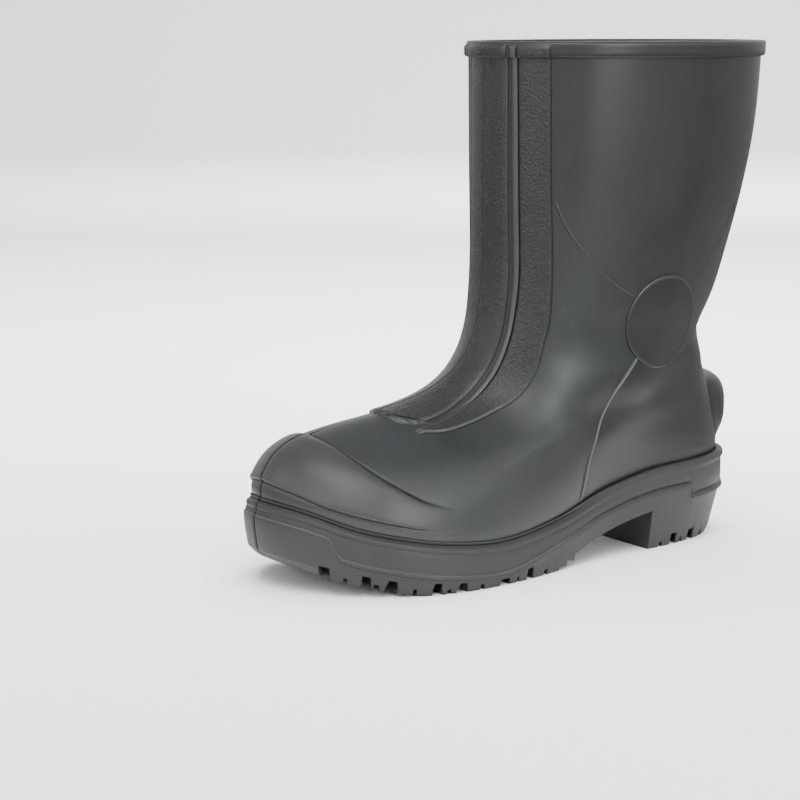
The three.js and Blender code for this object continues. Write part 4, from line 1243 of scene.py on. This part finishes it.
def sole_rubber():
    """The sole's rubber: a little warmer and drier than the upper's."""
    material, tree = node_tree("Sole rubber")
    w = Wiring(tree)
    shader = tree.nodes["Principled BSDF"].inputs
    place = w.place()
    cavity, lip, bevel = (w.attribute(name) for name in ("cavity", "lip", "bevel"))
    grain = w.group(FINE_GRAIN, Vector=place)
    handling = w.group(HANDLING, Vector=place)
    colour = w.mix_colour(handling["Cloud"], SOLE_DARK, SOLE_LIGHT, "Warm dark grey")
    for share, laid_over, label in (
        # a lighter colour on the bevel under the toe
        (w.math("MULTIPLY", bevel, 0.5), BEVEL_COLOUR, "Lighter bevel under the toe"),
        # painted shade in the channels and grooves
        (w.ramp(cavity, 0.15, 0.95), GROOVE_SHADE_COLOUR, "Painted shade in channels and grooves"),
        # painted highlight along the rim's top lip and the ridge line
        (w.math("MULTIPLY", lip, 0.45), PAINTED_HIGHLIGHT_COLOUR, "Painted highlight on the rim"),
        (w.math("MULTIPLY", handling["Dust"], 0.3), SOLE_DUST, "Dust specks"),
    ):
        colour = w.mix_colour(share, colour, laid_over, label)
    w.feed(colour, shader["Base Color"])
    satin = w.ramp(handling["Cloud"], 0.0, 1.0, 0.46, 0.54, "Uneven satin")
    w.feed(w.math("MULTIPLY_ADD", grain["Speckle"], 0.06, satin), shader["Roughness"])
    w.feed(satin_shine(w, cavity, 0.42), shader["Specular IOR Level"])
    w.feed(w.bump(grain["Height"], 0.25, 0.0002, "Fine grain"), shader["Normal"])
    return material


def knit(name, light, dark, pitch):
    """Fine knitted cloth: ribs that run up, crossed by rows of loops."""
    material, tree = node_tree(name)
    w = Wiring(tree)
    shader = tree.nodes["Principled BSDF"].inputs
    place = w.place()
    ribs = w.add("ShaderNodeTexWave", "Rows of loops", wave_type="BANDS", bands_direction="Z")
    cross = w.add("ShaderNodeTexWave", "Ribs", wave_type="BANDS", bands_direction="DIAGONAL")
    for wave, scale in ((ribs, pitch), (cross, pitch * 0.8)):
        w.feed(place, wave.inputs["Vector"])
        w.feed(scale, wave.inputs["Scale"])
    w.feed(0.6, ribs.inputs["Distortion"])
    weave = w.math("MULTIPLY", ribs.outputs["Fac"], cross.outputs["Fac"])
    fuzz = w.noise(place, 900.0, 2.0, 0.6, "Loose fibres").outputs["Fac"]
    mixed = w.math("MULTIPLY_ADD", fuzz, 0.5, weave)
    w.feed(w.mix_colour(w.ramp(mixed, 0.15, 0.9), dark, light, "Yarn"), shader["Base Color"])
    w.feed(0.92, shader["Roughness"])
    w.feed(0.25, shader["Sheen Weight"])
    w.feed(w.bump(mixed, 0.6, 0.0004, "Knit"), shader["Normal"])
    return material


# ---------------------------------------------------------------- putting the boot together

rubber, tread_rubber = upper_rubber(), sole_rubber()
sock = knit("Lining knit", (0.12, 0.12, 0.115), (0.05, 0.05, 0.05), 260.0)
footbed_cloth = knit("Insole cloth", (0.06, 0.06, 0.063), (0.02, 0.02, 0.021), 330.0)

upper = upper_shell()
sole = outsole()
inner_sole = insole()
sock_lining = lining()
outer_disc = ankle_disc("ankle_disc_outer", 1)
inner_disc = ankle_disc("ankle_disc_inner", -1)
outer_seams = mould_seams("mould_seams_outer", 1)
inner_seams = mould_seams("mould_seams_inner", -1)

for piece, material, node, slot, degrees in (
    (upper, rubber, "upper", "upper_rubber", 60),
    (outer_disc, rubber, None, "upper_rubber", 50),
    (inner_disc, rubber, None, "upper_rubber", 50),
    (outer_seams, rubber, None, "upper_rubber", 70),
    (inner_seams, rubber, None, "upper_rubber", 70),
    (sole, tread_rubber, "outsole", "sole_rubber", 38),
    (inner_sole, footbed_cloth, "insole", "insole_foam", 50),
    (sock_lining, sock, None, "insole_foam", 60),
):
    piece.data.materials.append(material)
    select_only(piece)
    bpy.ops.object.mode_set(mode="EDIT")
    bpy.ops.mesh.select_all(action="SELECT")
    bpy.ops.mesh.normals_make_consistent(inside=False)
    bpy.ops.object.mode_set(mode="OBJECT")
    shade(piece, degrees)
    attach(piece, "root")
    if node:
        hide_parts(node)

# ---------------------------------------------------------------- floor, light and camera


FLOOR_RADIUS, SWEEP_RADIUS, SWEEP_HEIGHT = 4.0, 2.0, 4.5
FLAG_INNER, FLAG_OUTER, FLAG_HEIGHT = 0.27, 3.9, 0.002


def round_surface(name, profile, count):
    """A stage piece swept round the middle from a profile of radius and height in metres."""
    turns = [2 * math.pi * k / count for k in range(count)]
    points = [(out * math.cos(a), out * math.sin(a), height) for out, height in profile for a in turns]
    mesh = bpy.data.meshes.new(name)
    mesh.from_pydata(points, [], loops_to_faces(len(profile), count).tolist())
    piece = bpy.data.objects.new(name, mesh)
    bpy.context.scene.collection.objects.link(piece)
    return piece


def plain_material(piece, name, grey, roughness, specular):
    material, tree = node_tree(name)
    shader = tree.nodes["Principled BSDF"].inputs
    shader["Base Color"].default_value = (grey, grey, grey, 1)
    shader["Roughness"].default_value = roughness
    shader["Specular IOR Level"].default_value = specular
    piece.data.materials.append(material)


def make_stage():
    """A pale floor that sweeps up all round, out of sight behind the lights."""
    bends = [math.radians(angle) for angle in range(0, 91, 6)]
    profile = [(0.0, 0.0), (1.0, 0.0), (2.5, 0.0)]
    profile += [(FLOOR_RADIUS + SWEEP_RADIUS * math.sin(a), SWEEP_RADIUS * (1 - math.cos(a))) for a in bends]
    profile.append((FLOOR_RADIUS + SWEEP_RADIUS, SWEEP_HEIGHT))
    floor = round_surface("floor", profile, 96)
    merge_doubles(floor)
    select_only(floor)
    bpy.ops.object.shade_smooth()
    plain_material(floor, "Pale floor", 0.91, 0.9, 0.1)
    make_flag()
    world = bpy.data.worlds.new("Studio")
    bpy.context.scene.world = world
    world.use_nodes = True
    world.node_tree.nodes["Background"].inputs[0].default_value = (1, 1, 1, 1)
    world.node_tree.nodes["Background"].inputs[1].default_value = WORLD_LIGHT


def make_flag():
    """A dark studio flag around the boot, seen only in the rubber's reflections."""
    flag = round_surface("flag", ((FLAG_INNER, FLAG_HEIGHT), (FLAG_OUTER, FLAG_HEIGHT)), 64)
    plain_material(flag, "Dark flag", 0.12, 1.0, 0.5)
    for ray in ("camera", "diffuse", "shadow", "transmission", "volume_scatter"):
        setattr(flag, f"visible_{ray}", False)


def soft_light(name, azimuth, elevation, distance, size, power, target=(0, 0, 0.1), colour=(1, 1, 1)):
    data = bpy.data.lights.new(name, "AREA")
    data.shape = "RECTANGLE"
    data.size, data.size_y = size
    data.energy = power
    data.color = colour
    light = bpy.data.objects.new(name, data)
    bpy.context.scene.collection.objects.link(light)
    a, e = math.radians(azimuth), math.radians(elevation)
    away = Vector((math.sin(a) * math.cos(e), -math.cos(a) * math.cos(e), math.sin(e)))
    light.location = Vector(target) + away * distance
    light.rotation_euler = (-away).to_track_quat("-Z", "Y").to_euler()
    light.visible_camera = False
    light.visible_glossy = name not in FLOOR_LIGHTS
    return light


WORLD_LIGHT = 0.5
# Name, azimuth and elevation in degrees, distance and size in metres, power in watts.
LIGHTS = (
    ("key", 32, 56, 1.7, (0.9, 0.8), 7.5),
    ("near_key", 50, 40, 1.7, (0.8, 0.8), 9.0),
    ("high_side", 100, 42, 1.7, (0.9, 0.9), 6.0),
    ("front", -15, 22, 1.6, (0.7, 0.7), 3.0),
    ("toe", 18, 14, 1.4, (0.5, 0.5), 4.2),
    ("low_front", 52, 3, 1.3, (0.35, 0.3), 0.6),
    ("side", 90, 17, 1.3, (0.5, 0.3), 6.5, (0, 0, 0.05), (0.92, 1.0, 1.0)),
    ("back_side", 125, 17, 1.3, (0.5, 0.3), 1.2),
    ("ceiling", 54, 75, 2.3, (2.0, 2.0), 80.0),
    ("backdrop", 54.5, 38, 2.4, (2.0, 1.6), 110.0, (-1.9, 1.7, 0.0)),
    ("far_backdrop", 54.5, 20, 2.4, (2.0, 2.0), 110.0, (-3.6, 3.0, 0.8)),
)
# The lights that brighten the floor and leave no reflection on the rubber.
FLOOR_LIGHTS = ("ceiling", "backdrop", "far_backdrop")
CAMERA_AZIMUTH, CAMERA_ELEVATION, CAMERA_DISTANCE = 54.5, 13.5, 1.3
FOCAL_PIXELS, FRAME_PIXELS = 2262.0, 800.0
SOLE_MIDDLE_PIXEL = (502.0, 552.5)


def make_camera():
    """Stands where the photographer stood, turned so that the sole's middle falls where the photo has it."""
    a, e = math.radians(CAMERA_AZIMUTH), math.radians(CAMERA_ELEVATION)
    back = Vector((math.sin(a) * math.cos(e), -math.cos(a) * math.cos(e), math.sin(e)))
    right = Vector((math.cos(a), math.sin(a), 0))
    up = back.cross(right)
    middle = Vector((0, MIDDLE_SHIFT * MILLIMETRE, 0))
    data = bpy.data.cameras.new("camera")
    camera = bpy.data.objects.new("camera", data)
    bpy.context.scene.collection.objects.link(camera)
    camera.location = middle + back * CAMERA_DISTANCE
    offset = [FRAME_PIXELS / 2 - pixel for pixel in SOLE_MIDDLE_PIXEL]
    sight = right * offset[0] - up * offset[1] - back * FOCAL_PIXELS
    camera.rotation_mode = "QUATERNION"
    camera.rotation_quaternion = sight.to_track_quat("-Z", "Y")
    data.sensor_width = 36.0
    data.lens = FOCAL_PIXELS / FRAME_PIXELS * 36.0
    data.clip_start, data.clip_end = 0.05, 50.0
    bpy.context.scene.camera = camera


make_stage()
for light_row in LIGHTS:
    soft_light(*light_row)
make_camera()
